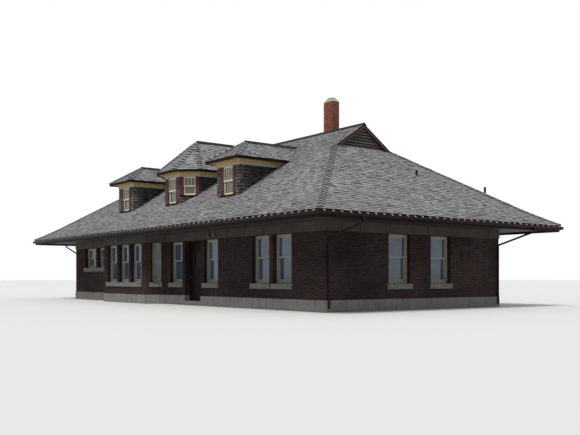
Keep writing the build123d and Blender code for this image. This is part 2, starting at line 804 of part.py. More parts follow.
def dormer_hole(item):
    """The part of the main roof that is open to a dormer's inside."""
    reach = (DORMER_SOFFIT_LEVEL - EAVE_LEVEL + FLARE_LIFT) / SLOPE - HALF_EAVE_WIDTH
    plan = dormer_outline(item, -DORMER_WALL, back=reach)
    return slab(plan, EAVE_LEVEL, DORMER_SOFFIT_LEVEL + ROOF_THICKNESS)


def dormer_face(place, width, back):
    """A glazed face: its sashes stand on the roof surface, which is highest at the back."""
    bottom = surface_level(HALF_EAVE_WIDTH + back) + DORMER_SILL_GAP
    return {"place": place, "width": width, "bottom": bottom}


def dormer_faces(item):
    """The front of a dormer, and the two cut corners of the octagonal one."""
    depth = DORMER_SASH_SETBACK + 2 * SASH_THICKNESS
    x = item["x"]
    front = Pos(x, DORMER_FRONT_Y, 0)
    faces = [dormer_face(front, DORMER_WINDOW_WIDTH, DORMER_FRONT_Y + depth)]
    if item["cant"]:
        reach = item["half"] - item["cant"] / 2
        y = DORMER_FRONT_Y + item["cant"] / 2
        back = y + (DORMER_SIDE_WINDOW_WIDTH / 2 + depth) * math.sin(math.radians(45))
        for side in (-1, 1):
            place = Pos(x + side * reach, y, 0) * Rot(0, 0, side * 45)
            faces.append(dormer_face(place, DORMER_SIDE_WINDOW_WIDTH, back))
    return faces


def dormer_walls(item, roof_body):
    """Front and side walls, from the main roof up to the inside of the dormer's own roof."""
    walls = dormer_band(item, 0, -DORMER_WALL, EAVE_LEVEL, ABOVE_ROOF, roof_body)
    walls &= pitched_cap(item, DORMER_ROOF_THICKNESS, EAVE_LEVEL)
    for face in dormer_faces(item):
        half = face["width"] / 2
        hole = block((-half, -DORMER_WALL, face["bottom"]), (half, 2 * DORMER_WALL, DORMER_FRIEZE_BOTTOM))
        walls -= face["place"] * hole
    return walls


def dormer_window_parts(item, roof_body):
    """Casings, sashes and panes of one dormer."""
    casings, sashes, panes = [], [], []
    top = DORMER_FRIEZE_BOTTOM
    for face in dormer_faces(item):
        place, width, bottom = face["place"], face["width"], face["bottom"]
        half = width / 2
        outer = half + CASING_WIDTH
        casing = block((-outer, -CASING_THICKNESS, bottom - CASING_SILL), (outer, 0, top))
        casing -= block((-half, -WALL, bottom), (half, WALL, top + 1))
        casings.append(place * casing - roof_body)
        rail = (bottom + top) / 2
        sash, pane = sash_parts(width, bottom, rail, top, DORMER_STILE, DORMER_SASH_SETBACK)
        sashes += [place * shape for shape in sash]
        panes += [place * shape for shape in pane]
    return casings, sashes, panes


def dormer_eaves(item, roof_body):
    """Fascia, soffit with its bed mould, and frieze of one dormer."""
    outer = DORMER_EAVE - DORMER_FASCIA_SETBACK
    inner = outer - FASCIA_BOARD
    shell = pitched_cap(item, 0, DORMER_EAVE_LEVEL - DORMER_ROOF_THICKNESS)
    top = DORMER_EAVE_LEVEL
    board = dormer_band(item, outer, inner, DORMER_FASCIA_BOTTOM, top, roof_body) - shell
    mould_reach, mould_height = BED_MOULD
    panel_top = DORMER_SOFFIT_LEVEL + SOFFIT_BOARD
    panel = dormer_band(item, inner, 0, DORMER_SOFFIT_LEVEL, panel_top, roof_body)
    mould_out = DORMER_FRIEZE_BOARD + mould_reach
    frieze_top = DORMER_SOFFIT_LEVEL - mould_height
    mould = dormer_band(item, mould_out, 0, frieze_top, DORMER_SOFFIT_LEVEL, roof_body)
    frieze = dormer_band(item, DORMER_FRIEZE_BOARD, 0, DORMER_FRIEZE_BOTTOM, frieze_top, roof_body)
    return board, panel + mould, frieze


# Chimney, pipes and lamps

def chimney_middle():
    x = CHIMNEY_NEAR_CORNER[0] - CHIMNEY[0] / 2
    y = CHIMNEY_NEAR_CORNER[1] + CHIMNEY[1] / 2
    return x, y


def chimney_stack():
    x, y = chimney_middle()
    return Pos(x, y, (ATTIC_LEVEL + CHIMNEY_TOP) / 2) * Box(*CHIMNEY, CHIMNEY_TOP - ATTIC_LEVEL)


def chimney_cap():
    """Cement cap that tapers from the stack to the flue tile."""
    x, y = chimney_middle()
    base = Plane((x, y, CHIMNEY_TOP)) * Rectangle(*CHIMNEY)
    sides = [size + 2 * CHIMNEY_CAP_LEDGE for size in CHIMNEY_POT]
    top = Plane((x, y, CHIMNEY_TOP + CHIMNEY_CAP)) * Rectangle(*sides)
    return loft([base, top]) - flue_tile()


def flue_tile():
    """The tile's outside, unpierced."""
    x, y = chimney_middle()
    middle = CHIMNEY_TOP + CHIMNEY_POT_RISE / 2
    return Pos(x, y, middle) * Box(*CHIMNEY_POT, CHIMNEY_POT_RISE)


def chimney_pot():
    x, y = chimney_middle()
    sides = [size - 2 * CHIMNEY_POT_WALL for size in CHIMNEY_POT]
    return flue_tile() - Pos(x, y, CHIMNEY_TOP) * Box(*sides, 4 * CHIMNEY_POT_RISE)


def vent_pipes():
    """One pipe on the right end slope and one on the rear slope, from the attic floor."""
    pipes = []
    for from_end, y, rise in VENTS:
        x = HALF_LENGTH - from_end
        inset = min(HALF_EAVE_LENGTH - abs(x), HALF_EAVE_WIDTH - abs(y))
        height = surface_level(inset) + rise - ATTIC_LEVEL
        pipes.append(Pos(x, y, ATTIC_LEVEL + height / 2) * Cylinder(VENT_RADIUS, height))
    return pipes


def downspouts():
    """Pipes from the end gutters back to the wall corners and down to the ground."""
    outlet = HALF_EAVE_LENGTH + GUTTER_SIZE / 2
    wall_x = HALF_LENGTH + PLINTH_PROJECTION + DOWNSPOUT_RADIUS
    pipes = []
    for side_x, run in ((-1, 3), (1, 1)):
        gutter = gutter_body(run, 0, GUTTER_TOP)
        for side_y in (-1, 1):
            y = side_y * (HALF_WIDTH - DOWNSPOUT_INSET)
            path = FilletPolyline(
                (side_x * outlet, y, GUTTER_BOTTOM + GUTTER_ROUND),
                (side_x * outlet, y, GUTTER_BOTTOM - DOWNSPOUT_DROP),
                (side_x * wall_x, y, GUTTER_BOTTOM - DOWNSPOUT_BEND_DROP),
                (side_x * wall_x, y, DOWNSPOUT_FOOT),
                radius=2 * DOWNSPOUT_RADIUS,
            )
            mouth = Plane((side_x * outlet, y, GUTTER_BOTTOM + GUTTER_ROUND), z_dir=(0, 0, -1))
            pipe = sweep(mouth * Circle(DOWNSPOUT_RADIUS), path)
            pipes.append(pipe - gutter)
    return pipes


def lamps():
    """Small flood lamps on short stems under the soffit."""
    stem_radius, stem_length = LAMP_STEM
    doorway = DOORWAY_CENTRE - BAY_END
    places = [(BAY_FACE, BAY_LAMP)] + [(FRONT_RIGHT, doorway + along) for along in DOOR_LAMPS]
    shapes = []
    for wall, along in places:
        stem_middle = FRIEZE_TOP - stem_length / 2
        stem = Pos(along, -LAMP_DISTANCE, stem_middle) * Cylinder(stem_radius, stem_length)
        shade_middle = FRIEZE_TOP - stem_length - LAMP_LENGTH / 2
        shade = Cone(LAMP_RADIUS, LAMP_RADIUS / 2, LAMP_LENGTH)
        shade = Pos(along, -LAMP_DISTANCE, shade_middle) * shade
        shapes.append(wall_place(wall) * (stem + shade))
    return shapes


def build():
    """Every node of the building, by name."""
    body = cross_prism(0, EAVE_LEVEL - ROOF_THICKNESS)
    every_dormer = dormers()
    pipes = vent_pipes()
    holes = [dormer_hole(item) for item in every_dormer] + [chimney_stack()] + pipes
    nodes = {}

    doorway_gap = doorway_column(FRONT_RIGHT, -1, PLINTH_TOP + 1)
    front_plinths = [plinth_run(FRONT_LEFT)] + by_position(plinth_run(FRONT_RIGHT) - doorway_gap)
    rear_plinths = by_position(plinth_run(REAR) - doorway_column(REAR, -1, PLINTH_TOP + 1))
    nodes["long_plinths"] = front_plinths + rear_plinths
    nodes["bay_plinth"] = plinth_run(BAY_LEFT) + plinth_run(BAY_FACE) + plinth_run(BAY_RIGHT)
    nodes["end_plinths"] = [plinth_run(LEFT_END), plinth_run(RIGHT_END)]
    nodes["door_steps"] = [door_step(FRONT_RIGHT), door_step(REAR)]
    nodes["ground_floor"] = floor_plate()

    nodes["front_wall_left"] = brick_run(FRONT_LEFT)
    front = brick_run(FRONT_RIGHT) - doorway_column(FRONT_RIGHT, 0, 2 * FRIEZE_TOP)
    middle, right = by_position(front)
    nodes["front_wall_middle"] = middle
    nodes["front_wall_right"] = right
    column = doorway_column(FRONT_RIGHT, WINDOW_TOP, SOFFIT_TOP)
    nodes["front_door_lintel"] = wall_run(FRONT_RIGHT, 0, -WALL, WINDOW_TOP, SOFFIT_TOP) & column
    nodes["bay_front_wall"] = brick_run(BAY_FACE)
    nodes["bay_side_walls"] = [brick_run(BAY_LEFT), brick_run(BAY_RIGHT)]
    nodes["end_walls"] = [brick_run(LEFT_END), brick_run(RIGHT_END)]
    nodes["rear_wall"] = brick_run(REAR) - doorway_hole(REAR)

    nodes["window_sills"] = sills()
    frames, sashes, panes = ground_window_parts()
    dormer_windows = [dormer_window_parts(item, body) for item in every_dormer]
    for group in dormer_windows:
        panes += group[2]
    nodes["window_frames"] = frames
    nodes["window_sashes"] = sashes
    nodes["window_glass"] = panes + [door_glass(REAR)]
    nodes["door_frames"] = [door_frame(FRONT_RIGHT), door_frame(REAR)]
    nodes["transom_panels"] = [transom_panel(FRONT_RIGHT), transom_panel(REAR)]
    nodes["rear_door"] = door_leaf(REAR)
    nodes["rear_door_hardware"] = door_handle(REAR) + hinge_barrels(REAR)
    nodes["front_door"] = door_leaf(FRONT_RIGHT)
    nodes["front_door_glass"] = door_glass(FRONT_RIGHT)
    nodes["front_door_hardware"] = door_handle(FRONT_RIGHT) + hinge_barrels(FRONT_RIGHT)
    nodes["hinge_pins"] = hinge_pins(FRONT_RIGHT) + hinge_pins(REAR)

    nodes["frieze_boards"] = ring(FRIEZE_BOARD, 0, FRIEZE_BOTTOM, FRIEZE_TOP)
    nodes["main_roof"] = main_roof(holes)
    nodes["attic_floor"] = attic_floor()
    nodes["soffit"] = soffit()
    nodes["fascia"] = fascia()
    nodes["long_gutters"] = [gutter_run(0), gutter_run(2)]
    nodes["end_gutters"] = [gutter_run(1), gutter_run(3)]
    nodes["gablet_walls"] = gablet_walls()
    nodes["gablet_rakes"] = gablet_rakes()

    nodes["dormer_walls"] = [dormer_walls(item, body) for item in every_dormer]
    nodes["dormer_roofs"] = [dormer_roof(item, body) for item in every_dormer]
    eaves = [dormer_eaves(item, body) for item in every_dormer]
    nodes["dormer_fascias"] = [group[0] for group in eaves]
    nodes["dormer_soffits"] = [group[1] for group in eaves]
    nodes["dormer_friezes"] = [group[2] for group in eaves]
    nodes["dormer_casings"] = [shape for group in dormer_windows for shape in group[0]]
    nodes["dormer_sashes"] = [shape for group in dormer_windows for shape in group[1]]

    nodes["chimney_stack"] = chimney_stack()
    nodes["chimney_cap"] = chimney_cap()
    nodes["chimney_pot"] = chimney_pot()
    nodes["vent_pipes"] = pipes
    nodes["downspouts"] = downspouts()
    nodes["lamps"] = lamps()
    return nodes


def write(nodes):
    os.makedirs("parts", exist_ok=True)
    for name, shape in nodes.items():
        if isinstance(shape, list):
            solids = [solid for item in shape for solid in item.solids()]
            shape = Compound(children=solids)
        shape.label = name
        export_step(shape, f"parts/{name}.step")


write(build())
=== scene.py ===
import math
import random

import bpy
from bpy.props import FloatProperty, FloatVectorProperty, PointerProperty
from mathutils import Matrix, Vector


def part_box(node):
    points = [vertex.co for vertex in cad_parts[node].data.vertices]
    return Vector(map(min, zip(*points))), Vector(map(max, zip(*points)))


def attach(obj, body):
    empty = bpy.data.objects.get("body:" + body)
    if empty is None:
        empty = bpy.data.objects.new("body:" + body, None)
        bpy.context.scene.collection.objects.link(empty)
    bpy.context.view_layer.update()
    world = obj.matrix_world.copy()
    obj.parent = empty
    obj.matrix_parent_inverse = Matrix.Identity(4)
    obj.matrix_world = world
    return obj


bl_info = {
    "name": "Railway Station Dressing",
    "version": (1, 0, 0),
    "blender": (4, 5, 0),
    "location": "3D View > Sidebar > Station",
    "description": "Shingles, boards, bars, fittings and finishes for the railway station building",
    "category": "Object",
}

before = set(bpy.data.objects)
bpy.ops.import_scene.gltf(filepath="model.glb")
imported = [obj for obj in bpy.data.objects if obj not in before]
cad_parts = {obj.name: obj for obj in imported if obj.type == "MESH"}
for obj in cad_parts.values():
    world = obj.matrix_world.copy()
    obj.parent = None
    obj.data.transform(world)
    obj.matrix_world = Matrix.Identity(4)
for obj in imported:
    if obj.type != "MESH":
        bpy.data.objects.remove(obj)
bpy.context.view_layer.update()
BUILDING = "building"
UP = Vector((0, 0, 1))


# Sizes of the building, in metres

HALF_EAVE_LENGTH, HALF_EAVE_WIDTH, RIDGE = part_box("main_roof")[1]
GUTTER_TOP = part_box("long_gutters")[1].z
EAVE_OVER_GUTTER = 0.07
EAVE = GUTTER_TOP + EAVE_OVER_GUTTER
PITCH = math.radians(33.4)
SLOPE = math.tan(PITCH)
FLARE_RUN = 1.22
FLARE_LIFT = 0.10
ROOF_THICKNESS = 0.15
WALL_FRONT = -4.55

# Each side's turn from the front, its eave's distance from the middle and half its length
EAVE_SIDES = {
    "front": (0, HALF_EAVE_WIDTH, HALF_EAVE_LENGTH),
    "right": (90, HALF_EAVE_LENGTH, HALF_EAVE_WIDTH),
    "rear": (180, HALF_EAVE_WIDTH, HALF_EAVE_LENGTH),
    "left": (270, HALF_EAVE_LENGTH, HALF_EAVE_WIDTH),
}

# Limits of the plaster, just behind the walls' inner faces
PLASTER_X = 10.27
PLASTER_Y = 4.17

GABLET_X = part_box("gablet_walls")[1].x
GABLET_INSET = HALF_EAVE_LENGTH - GABLET_X
GABLET_OVERHANG = 0.10
RAKE_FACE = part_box("gablet_rakes")[1].x
RIDGE_SEAT = 0.01
RIDGE_LIFT = 0.045
RIDGE_ROLL = 0.038
RIDGE_FLANGE = 0.11

# How far the first course hangs over the edge of the main roof and of a dormer's
MAIN_DRIP = 0.03
DORMER_DRIP = 0.02

DORMER_FRONT = -4.40
DORMER_EAVE = 5.825
DORMER_REACH = 0.35
DORMER_FRIEZE = 5.54
SQUARE_DORMERS = (-4.64, 4.54)
SQUARE_HALF = 0.815
OCTAGON_X = 0.015
OCTAGON_HALF = 1.265
OCTAGON_CANT = 0.62
OCTAGON_SLOPE = (RIDGE + 0.025 - DORMER_EAVE) / (OCTAGON_HALF + DORMER_REACH)
HALF_CORNER = math.radians(22.5)

# Width and bottom of a dormer's front window and of one in a cut face
FRONT_WINDOW = (0.73, 4.425)
CUT_FACE_WINDOW = (0.54, 4.737)
CASING_END = 0.53
APRON_TOP = 4.70

# Middles and width of the small high windows, and each sash's bottom, top and depth in the wall
SMALL_WINDOWS = (-8.67, -7.035)
SMALL_WIDTH = 1.40
SMALL_FRAME = 0.115
SMALL_SASHES = ((1.80, 2.185, 0.234), (2.205, 2.60, 0.196))

# Joints between the frieze boards: places on the ends, and the spacing on the long sides
END_JOINTS = (-3.86, -3.01, -1.78, -0.41, 0.39, 1.72, 2.5, 3.86)
LONG_JOINT_SPACING = 1.22


def linear(red, green, blue):
    """A colour given as seen on a screen, from 0 to 255, as the renderer's own values."""
    result = []
    for value in (red, green, blue):
        value /= 255
        result.append(value / 12.92 if value <= 0.04045 else ((value + 0.055) / 1.055) ** 2.4)
    return tuple(result)


def colour_property(name, description, red, green, blue):
    return FloatVectorProperty(
        name=name,
        description=description,
        default=linear(red, green, blue),
        subtype="COLOR",
        min=0,
        max=1,
    )


def size_property(name, description, default):
    return FloatProperty(name=name, description=description, default=default, min=0, unit="LENGTH")


class StationSizes(bpy.types.PropertyGroup):
    """Sizes of the small repeated pieces"""

    shingle_exposure: size_property("Shingle exposure", "Visible height of a roof shingle", 0.14)
    shingle_narrow: size_property("Narrowest shingle", "Least width of a shingle", 0.09)
    shingle_wide: size_property("Widest shingle", "Greatest width of a shingle", 0.26)
    shingle_butt: size_property("Shingle butt", "Thickness of a shingle at its lower edge", 0.021)
    cap_exposure: size_property("Cap exposure", "Visible length of a cap on the slope beside it", 0.187)
    cap_width: size_property("Cap width", "Width of a hip cap on each side", 0.105)
    cap_butt: size_property("Cap butt", "Thickness of a hip cap at its lower edge", 0.032)
    siding_exposure: size_property("Siding exposure", "Visible height of a wall shingle", 0.124)
    siding_butt: size_property("Siding butt", "Thickness of a wall shingle at its lower edge", 0.016)
    clapboard: size_property("Clapboard exposure", "Visible height of a gablet board", 0.115)
    hanger_spacing: size_property("Hanger spacing", "Distance between gutter hangers", 0.35)
    hanger_width: size_property("Hanger width", "Width of a gutter hanger's strap", 0.05)
    bar_width: size_property("Bar width", "Width of the bars in the dormer sashes", 0.022)


class StationColours(bpy.types.PropertyGroup):
    """Colours of the finishes"""

    shingle_light: colour_property("Light shingle", "Palest weathered shingles", 183, 184, 187)
    shingle_dark: colour_property("Dark shingle", "Darkest weathered shingles", 130, 130, 131)
    siding: colour_property("Siding", "Stained wall shingles", 94, 92, 91)
    siding_dark: colour_property("Dark siding", "Darkest wall shingles", 58, 56, 56)
    # Paler tone laid over the dormer walls near their front corners
    siding_front_pale: colour_property("Worn siding", "Wall shingles bleached by the sun", 156, 152, 146)
    # Darker than the brick in sun: partly painted shade from the deep eaves
    brick: colour_property("Wall brick", "Brick of the walls", 64, 53, 52)
    brick_dark: colour_property("Dark wall brick", "Darker bricks among them", 47, 39, 39)
    chimney: colour_property("Chimney brick", "Brick of the chimney", 160, 91, 74)
    # A little darkened, partly painted shade under the eaves
    concrete: colour_property("Concrete", "Plinth and steps", 138, 137, 134)
    sill: colour_property("Sill stone", "Window sills", 126, 125, 124)
    maroon: colour_property("Maroon paint", "Casings of the dormer windows", 90, 54, 60)
    gutter: colour_property("Gutter enamel", "Gutters and dormer sills", 46, 20, 26)
    # Near black: the fascias' paint, darkened partly as painted shade under the eaves
    dark_trim: colour_property("Dark trim", "Boards behind the gutter", 24, 23, 24)
    # Darkened partly as painted shade under the eaves
    frieze: colour_property("Frieze paint", "Boards under the soffit", 77, 74, 69)
    # Tan boards, darkened as painted shade of the deep eaves
    soffit: colour_property("Soffit paint", "Boards under the eaves", 52, 40, 27)
    dormer_soffit: colour_property("Dormer soffit paint", "Boards under the dormer eaves", 196, 168, 112)
    dormer_frieze: colour_property("Dormer frieze paint", "Band on top of the dormer walls", 182, 177, 158)
    cream: colour_property("Cream paint", "Dormer sashes", 232, 222, 190)
    frame_paint: colour_property("Frame paint", "Ground floor windows", 154, 150, 137)
    door: colour_property("Door paint", "Doors and their frames", 29, 20, 20)
    # Blue-grey: painted reflection of the sky in the ground floor panes
    glass: colour_property("Glass", "Ground floor panes", 92, 112, 134)
    curtained_glass: colour_property("Curtained glass", "Dormer panes with pale blinds", 122, 122, 108)
    # Near black with little gloss: painted dark reflection of the door's deep recess
    door_glass: colour_property("Door glass", "Panes of the doors", 26, 29, 33)
    # Near white: bare metal straps, partly a painted highlight for their glint
    metal: colour_property("Bare metal", "Hangers of the gutters", 226, 226, 222)
    plaster: colour_property("Plaster", "Inside faces of the walls", 172, 164, 146)


def sizes():
    return bpy.context.scene.station_sizes


def colours():
    return bpy.context.scene.station_colours


# Finishes

FINISHES = {}
CAP_TONES = linear(186, 187, 189), linear(140, 140, 142)
CLAPBOARD_TONES = linear(118, 116, 114), linear(92, 90, 89)
RUST = linear(96, 62, 44)
# Level below which the gutter is darker: painted shade on its downward-facing half
GUTTER_SHADE_LEVEL = GUTTER_TOP - 0.045

# Painted shadow line under each course's butts: where it starts and is full on a shingle's reach, its depth
# and its least share of that
ROOF_SHADOW_LINE = (0.6, 0.95, 0.6, 0.35)
CAP_SHADOW_LINE = (0.4, 0.62, 1, 1)
SIDING_SHADOW_LINE = (0.45, 0.8, 0.85, 0.6)

# Length, height and joint of a piece of coursed work
BRICK = (0.213, 0.075, 0.006)
PLINTH_BLOCK = (0.92, 20, 0.01)
FLOOR_BOARD = (2.6, 0.11, 0.003)


def darker(colour, amount):
    return tuple(channel * amount for channel in colour[:3])


def preset(sockets, values):
    """Sets sockets to constants, by their labels."""
    for label, value in values.items():
        sockets[label].default_value = value


class Finish:
    """Builds the node tree of one material."""

    def __init__(self, name, roughness=0.7, metallic=0.0, specular=0.4):
        self.material = bpy.data.materials.new(name)
        self.material.use_nodes = True
        self.tree = self.material.node_tree
        self.shader = self.tree.nodes["Principled BSDF"]
        gloss = {"Roughness": roughness, "Metallic": metallic, "Specular IOR Level": specular}
        preset(self.shader.inputs, gloss)

    def node(self, kind, **settings):
        node = self.tree.nodes.new(kind)
        for name, value in settings.items():
            setattr(node, name, value)
        return node

    def link(self, source, target):
        self.tree.links.new(source, target)

    def feed(self, value, target):
        """Links another socket to a socket, or sets it to a number or a colour."""
        if isinstance(value, bpy.types.NodeSocket):
            self.link(value, target)
        elif isinstance(value, (int, float)):
            target.default_value = value
        else:
            target.default_value = (*value[:3], 1)

    def place(self, scale=(1, 1, 1), grain=False):
        """Coordinates of the object in metres, or along and across its own grain."""
        coordinates = self.node("ShaderNodeTexCoord")
        mapping = self.node("ShaderNodeMapping")
        mapping.inputs["Scale"].default_value = scale
        self.link(coordinates.outputs["UV" if grain else "Object"], mapping.inputs["Vector"])
        return mapping.outputs["Vector"]

    def position(self):
        """Sockets of the place in metres, by axis."""
        split = self.node("ShaderNodeSeparateXYZ")
        self.link(self.node("ShaderNodeNewGeometry").outputs["Position"], split.inputs[0])
        return split.outputs

    def noise(self, scale, detail, stretch=(1, 1, 1), grain=False):
        texture = self.node("ShaderNodeTexNoise")
        preset(texture.inputs, {"Scale": scale, "Detail": detail})
        self.link(self.place(stretch, grain), texture.inputs["Vector"])
        return texture.outputs["Fac"]

    def spread(self, value, low, high, to_low=0.0, to_high=1.0):
        """Stretches a value from one range to another."""
        node = self.node("ShaderNodeMapRange")
        preset(node.inputs, {"From Min": low, "From Max": high, "To Min": to_low, "To Max": to_high})
        self.link(value, node.inputs["Value"])
        return node.outputs["Result"]

    def blend(self, factor, first, second, mode="MIX"):
        """Mixes two colours, each a value or a socket."""
        node = self.node("ShaderNodeMix", data_type="RGBA", blend_type=mode)
        for index, value in ((0, factor), (6, first), (7, second)):
            self.feed(value, node.inputs[index])
        return node.outputs[2]

    def math(self, operation, first, second=0):
        node = self.node("ShaderNodeMath", operation=operation)
        for target, value in zip(node.inputs, (first, second)):
            self.feed(value, target)
        return node.outputs[0]

    def stain(self, shade, mask, share, tone, mode="MIX"):
        """Lays another tone over a colour, as far as a share of a mask says."""
        return self.blend(self.math("MULTIPLY", mask, share), shade, tone, mode)

    def courses(self, vector, offset, piece, tones=()):
        """Coursed work. Tones are for its pieces, for others among them and for the joints."""
        texture = self.node("ShaderNodeTexBrick", offset=offset)
        length, height, joint = piece
        values = {"Scale": 1, "Brick Width": length, "Row Height": height, "Mortar Size": joint}
        preset(texture.inputs, values)
        for label, tone in zip(("Color1", "Color2", "Mortar"), tones):
            self.feed(tone, texture.inputs[label])
        self.link(vector, texture.inputs["Vector"])
        return texture.outputs

    def reach(self):
        """Height up a shingle's own exposure, from 0 at its butt to 1 under the next course; below 0 where
        shade is painted.
        """
        layer = self.node("ShaderNodeUVMap", uv_map="reach")
        split = self.node("ShaderNodeSeparateXYZ")
        self.link(layer.outputs["UV"], split.inputs[0])
        return split.outputs["X"]

    def height(self, value, strength, distance):
        """Turns a value into relief on the surface."""
        bump = self.node("ShaderNodeBump")
        preset(bump.inputs, {"Strength": strength, "Distance": distance})
        self.link(value, bump.inputs["Height"])
        self.link(bump.outputs["Normal"], self.shader.inputs["Normal"])

    def colour(self, socket):
        self.link(socket, self.shader.inputs["Base Color"])
        return self.material

    def wall_vector(self):
        """Distance along an upright face in X and height in Y, for coursed work."""
        geometry = self.node("ShaderNodeNewGeometry").outputs
        cross = self.node("ShaderNodeVectorMath", operation="CROSS_PRODUCT")
        cross.inputs[0].default_value = UP
        self.link(geometry["True Normal"], cross.inputs[1])
        dot = self.node("ShaderNodeVectorMath", operation="DOT_PRODUCT")
        self.link(geometry["Position"], dot.inputs[0])
        self.link(cross.outputs["Vector"], dot.inputs[1])
        join = self.node("ShaderNodeCombineXYZ")
        self.link(dot.outputs["Value"], join.inputs[0])
        self.link(self.position()["Z"], join.inputs[1])
        return join.outputs[0]


def painted(name, colour, roughness=0.55, wear=0.5):
    """Old paint on boards: dulled patches, rain streaks and fine brush relief."""
    finish = Finish(name, roughness, specular=0.08)
    patches = finish.spread(finish.noise(1.3, 5), 0.35, 0.7)
    streaks = finish.spread(finish.noise(1, 3, (9, 9, 0.7)), 0.4, 0.75)
    aged = finish.blend(patches, colour, darker(colour, 1 - 0.35 * wear))
    aged = finish.stain(aged, streaks, 0.6 * wear, darker(colour, 0.55))
    finish.height(finish.noise(60, 3, (1, 1, 0.15)), 0.25, 0.004)
    return finish.colour(aged)


def brickwork(name, colour, dark, mortar, inside=None):
    """Running bond with sooty, uneven bricks and thin joints."""
    finish = Finish(name, 0.9, specular=0.06)
    bricks = finish.courses(finish.wall_vector(), 0.5, BRICK, (colour, dark, mortar))
    soot = finish.spread(finish.noise(0.45, 5), 0.35, 0.7)
    grime = finish.spread(finish.noise(1, 4, (5, 5, 0.4)), 0.45, 0.8)
    shade = finish.stain(bricks["Color"], soot, 0.5, dark, "MULTIPLY")
    shade = finish.stain(shade, soot, 0.35, darker(dark, 0.6))
    shade = finish.stain(shade, grime, 0.3, darker(dark, 0.5))
    if inside is not None:
        shade = finish.blend(inside_mask(finish), shade, inside)
    grit = finish.math("MULTIPLY", finish.noise(90, 3), 0.25)
    finish.height(finish.math("SUBTRACT", grit, bricks["Fac"]), 0.7, 0.006)
    return finish.colour(shade)


def inside_mask(finish):
    """One on the room side of the walls, nought outside."""
    place = finish.position()
    masks = []
    for axis, limit in (("X", PLASTER_X), ("Y", PLASTER_Y)):
        masks.append(finish.math("LESS_THAN", finish.math("ABSOLUTE", place[axis]), limit))
    return finish.math("MULTIPLY", *masks)


def masonry(name, colour, stain, mottle=0.25, block=None):
    """Concrete or stone with pits, stains and mottling, in blocks of a given size if wanted."""
    finish = Finish(name, 0.88, specular=0.2)
    cloud = finish.spread(finish.noise(1.6, 6), 0.3, 0.72)
    streak = finish.spread(finish.noise(1, 4, (7, 7, 0.8)), 0.5, 0.8)
    speck = finish.spread(finish.noise(45, 3), 0.4, 0.7)
    rough = finish.spread(finish.noise(13, 6), 0.42, 0.62)
    shade = finish.stain(colour, cloud, stain, darker(colour, 0.55))
    shade = finish.stain(shade, streak, stain, darker(colour, 0.4))
    shade = finish.stain(shade, speck, 0.25, darker(colour, 0.7))
    shade = finish.stain(shade, rough, mottle, darker(colour, 0.45))
    relief = finish.math("ADD", finish.noise(30, 5), rough)
    if block is not None:
        joints = finish.courses(finish.wall_vector(), 0.0, block)["Fac"]
        shade = finish.stain(shade, joints, 0.7, darker(colour, 0.3))
        relief = finish.math("SUBTRACT", relief, finish.math("MULTIPLY", joints, 2))
    finish.height(relief, 0.5, 0.008)
    return finish.colour(shade)


def weathered_wood(name, light, dark, line, front_pale=None):
    """Split shingles, each its own tone, with grain, painted shade on their butts and sides and a painted
    shadow line under each course.
    """
    finish = Finish(name, 0.9, specular=0.05)
    own = finish.node("ShaderNodeNewGeometry").outputs["Random Per Island"]
    grain = finish.spread(finish.noise(1, 5, (70, 5, 1), grain=True), 0.3, 0.72)
    patch = finish.spread(finish.noise(0.55, 5), 0.32, 0.68)
    odd = finish.math("GREATER_THAN", own, 0.93)
    shade = finish.blend(own, light, dark)
    # Paler and patchy near the dormers' front corners
    if front_pale is not None:
        shade = finish.stain(shade, front_corner_mask(finish), 0.85, front_pale)
    shade = finish.stain(shade, grain, 0.4, darker(dark, 0.7))
    shade = finish.stain(shade, patch, 0.45, dark)
    shade = finish.stain(shade, odd, 0.45, darker(dark, 0.5))
    reach = finish.reach()
    # Painted shadow under the butts of the course above, on the upper part of each exposure
    start, full, depth, least = line
    uneven = finish.math("FRACT", finish.math("MULTIPLY", own, 23))
    painted_shadow_line = finish.math("MULTIPLY", finish.spread(reach, start, full), depth)
    painted_shadow_line = finish.math("MULTIPLY", painted_shadow_line, finish.spread(uneven, 0, 1, least, 1))
    shade = finish.blend(painted_shadow_line, shade, darker(dark, 0.2))
    # Painted shade on the butt ends and side faces, where the reach is below nought
    shade = finish.stain(shade, finish.spread(reach, 0.0, -0.5), 0.9, darker(dark, 0.15))
    finish.height(grain, 0.5, 0.004)
    return finish.colour(shade)


def front_corner_mask(finish):
    """Patchy lighter tone on the dormer walls near their front."""
    near = finish.spread(finish.position()["Y"], DORMER_FRONT + 0.5, DORMER_FRONT + 0.1)
    cloud = finish.spread(finish.noise(5, 4), 0.35, 0.6)
    return finish.math("MULTIPLY", near, cloud)


def boarded(name, colour, width):
    """Narrow matched boards with a bead at each joint."""
    finish = Finish(name, 0.65)
    wave = finish.node("ShaderNodeTexWave", wave_type="BANDS", bands_direction="DIAGONAL")
    preset(wave.inputs, {"Scale": math.pi / (10 * width), "Distortion": 0})
    finish.link(finish.place((1, 1, 0)), wave.inputs["Vector"])
    joint = finish.spread(wave.outputs["Fac"], 0.0, 0.12)
    tone = finish.spread(finish.noise(0.8, 5), 0.35, 0.7)
    shade = finish.blend(tone, colour, darker(colour, 0.75))
    shade = finish.blend(joint, darker(colour, 0.45), shade)
    finish.height(joint, 0.6, 0.006)
    return finish.colour(shade)


def floor_boards(name, colour):
    """Worn floor boards along the building."""
    finish = Finish(name, 0.6)
    tones = (colour, darker(colour, 0.7), darker(colour, 0.25))
    boards = finish.courses(finish.place(), 0.37, FLOOR_BOARD, tones)
    grain = finish.spread(finish.noise(1, 5, (2, 40, 1)), 0.3, 0.7)
    shade = finish.stain(boards["Color"], grain, 0.4, darker(colour, 0.5))
    finish.height(finish.math("SUBTRACT", grain, boards["Fac"]), 0.4, 0.003)
    return finish.colour(shade)


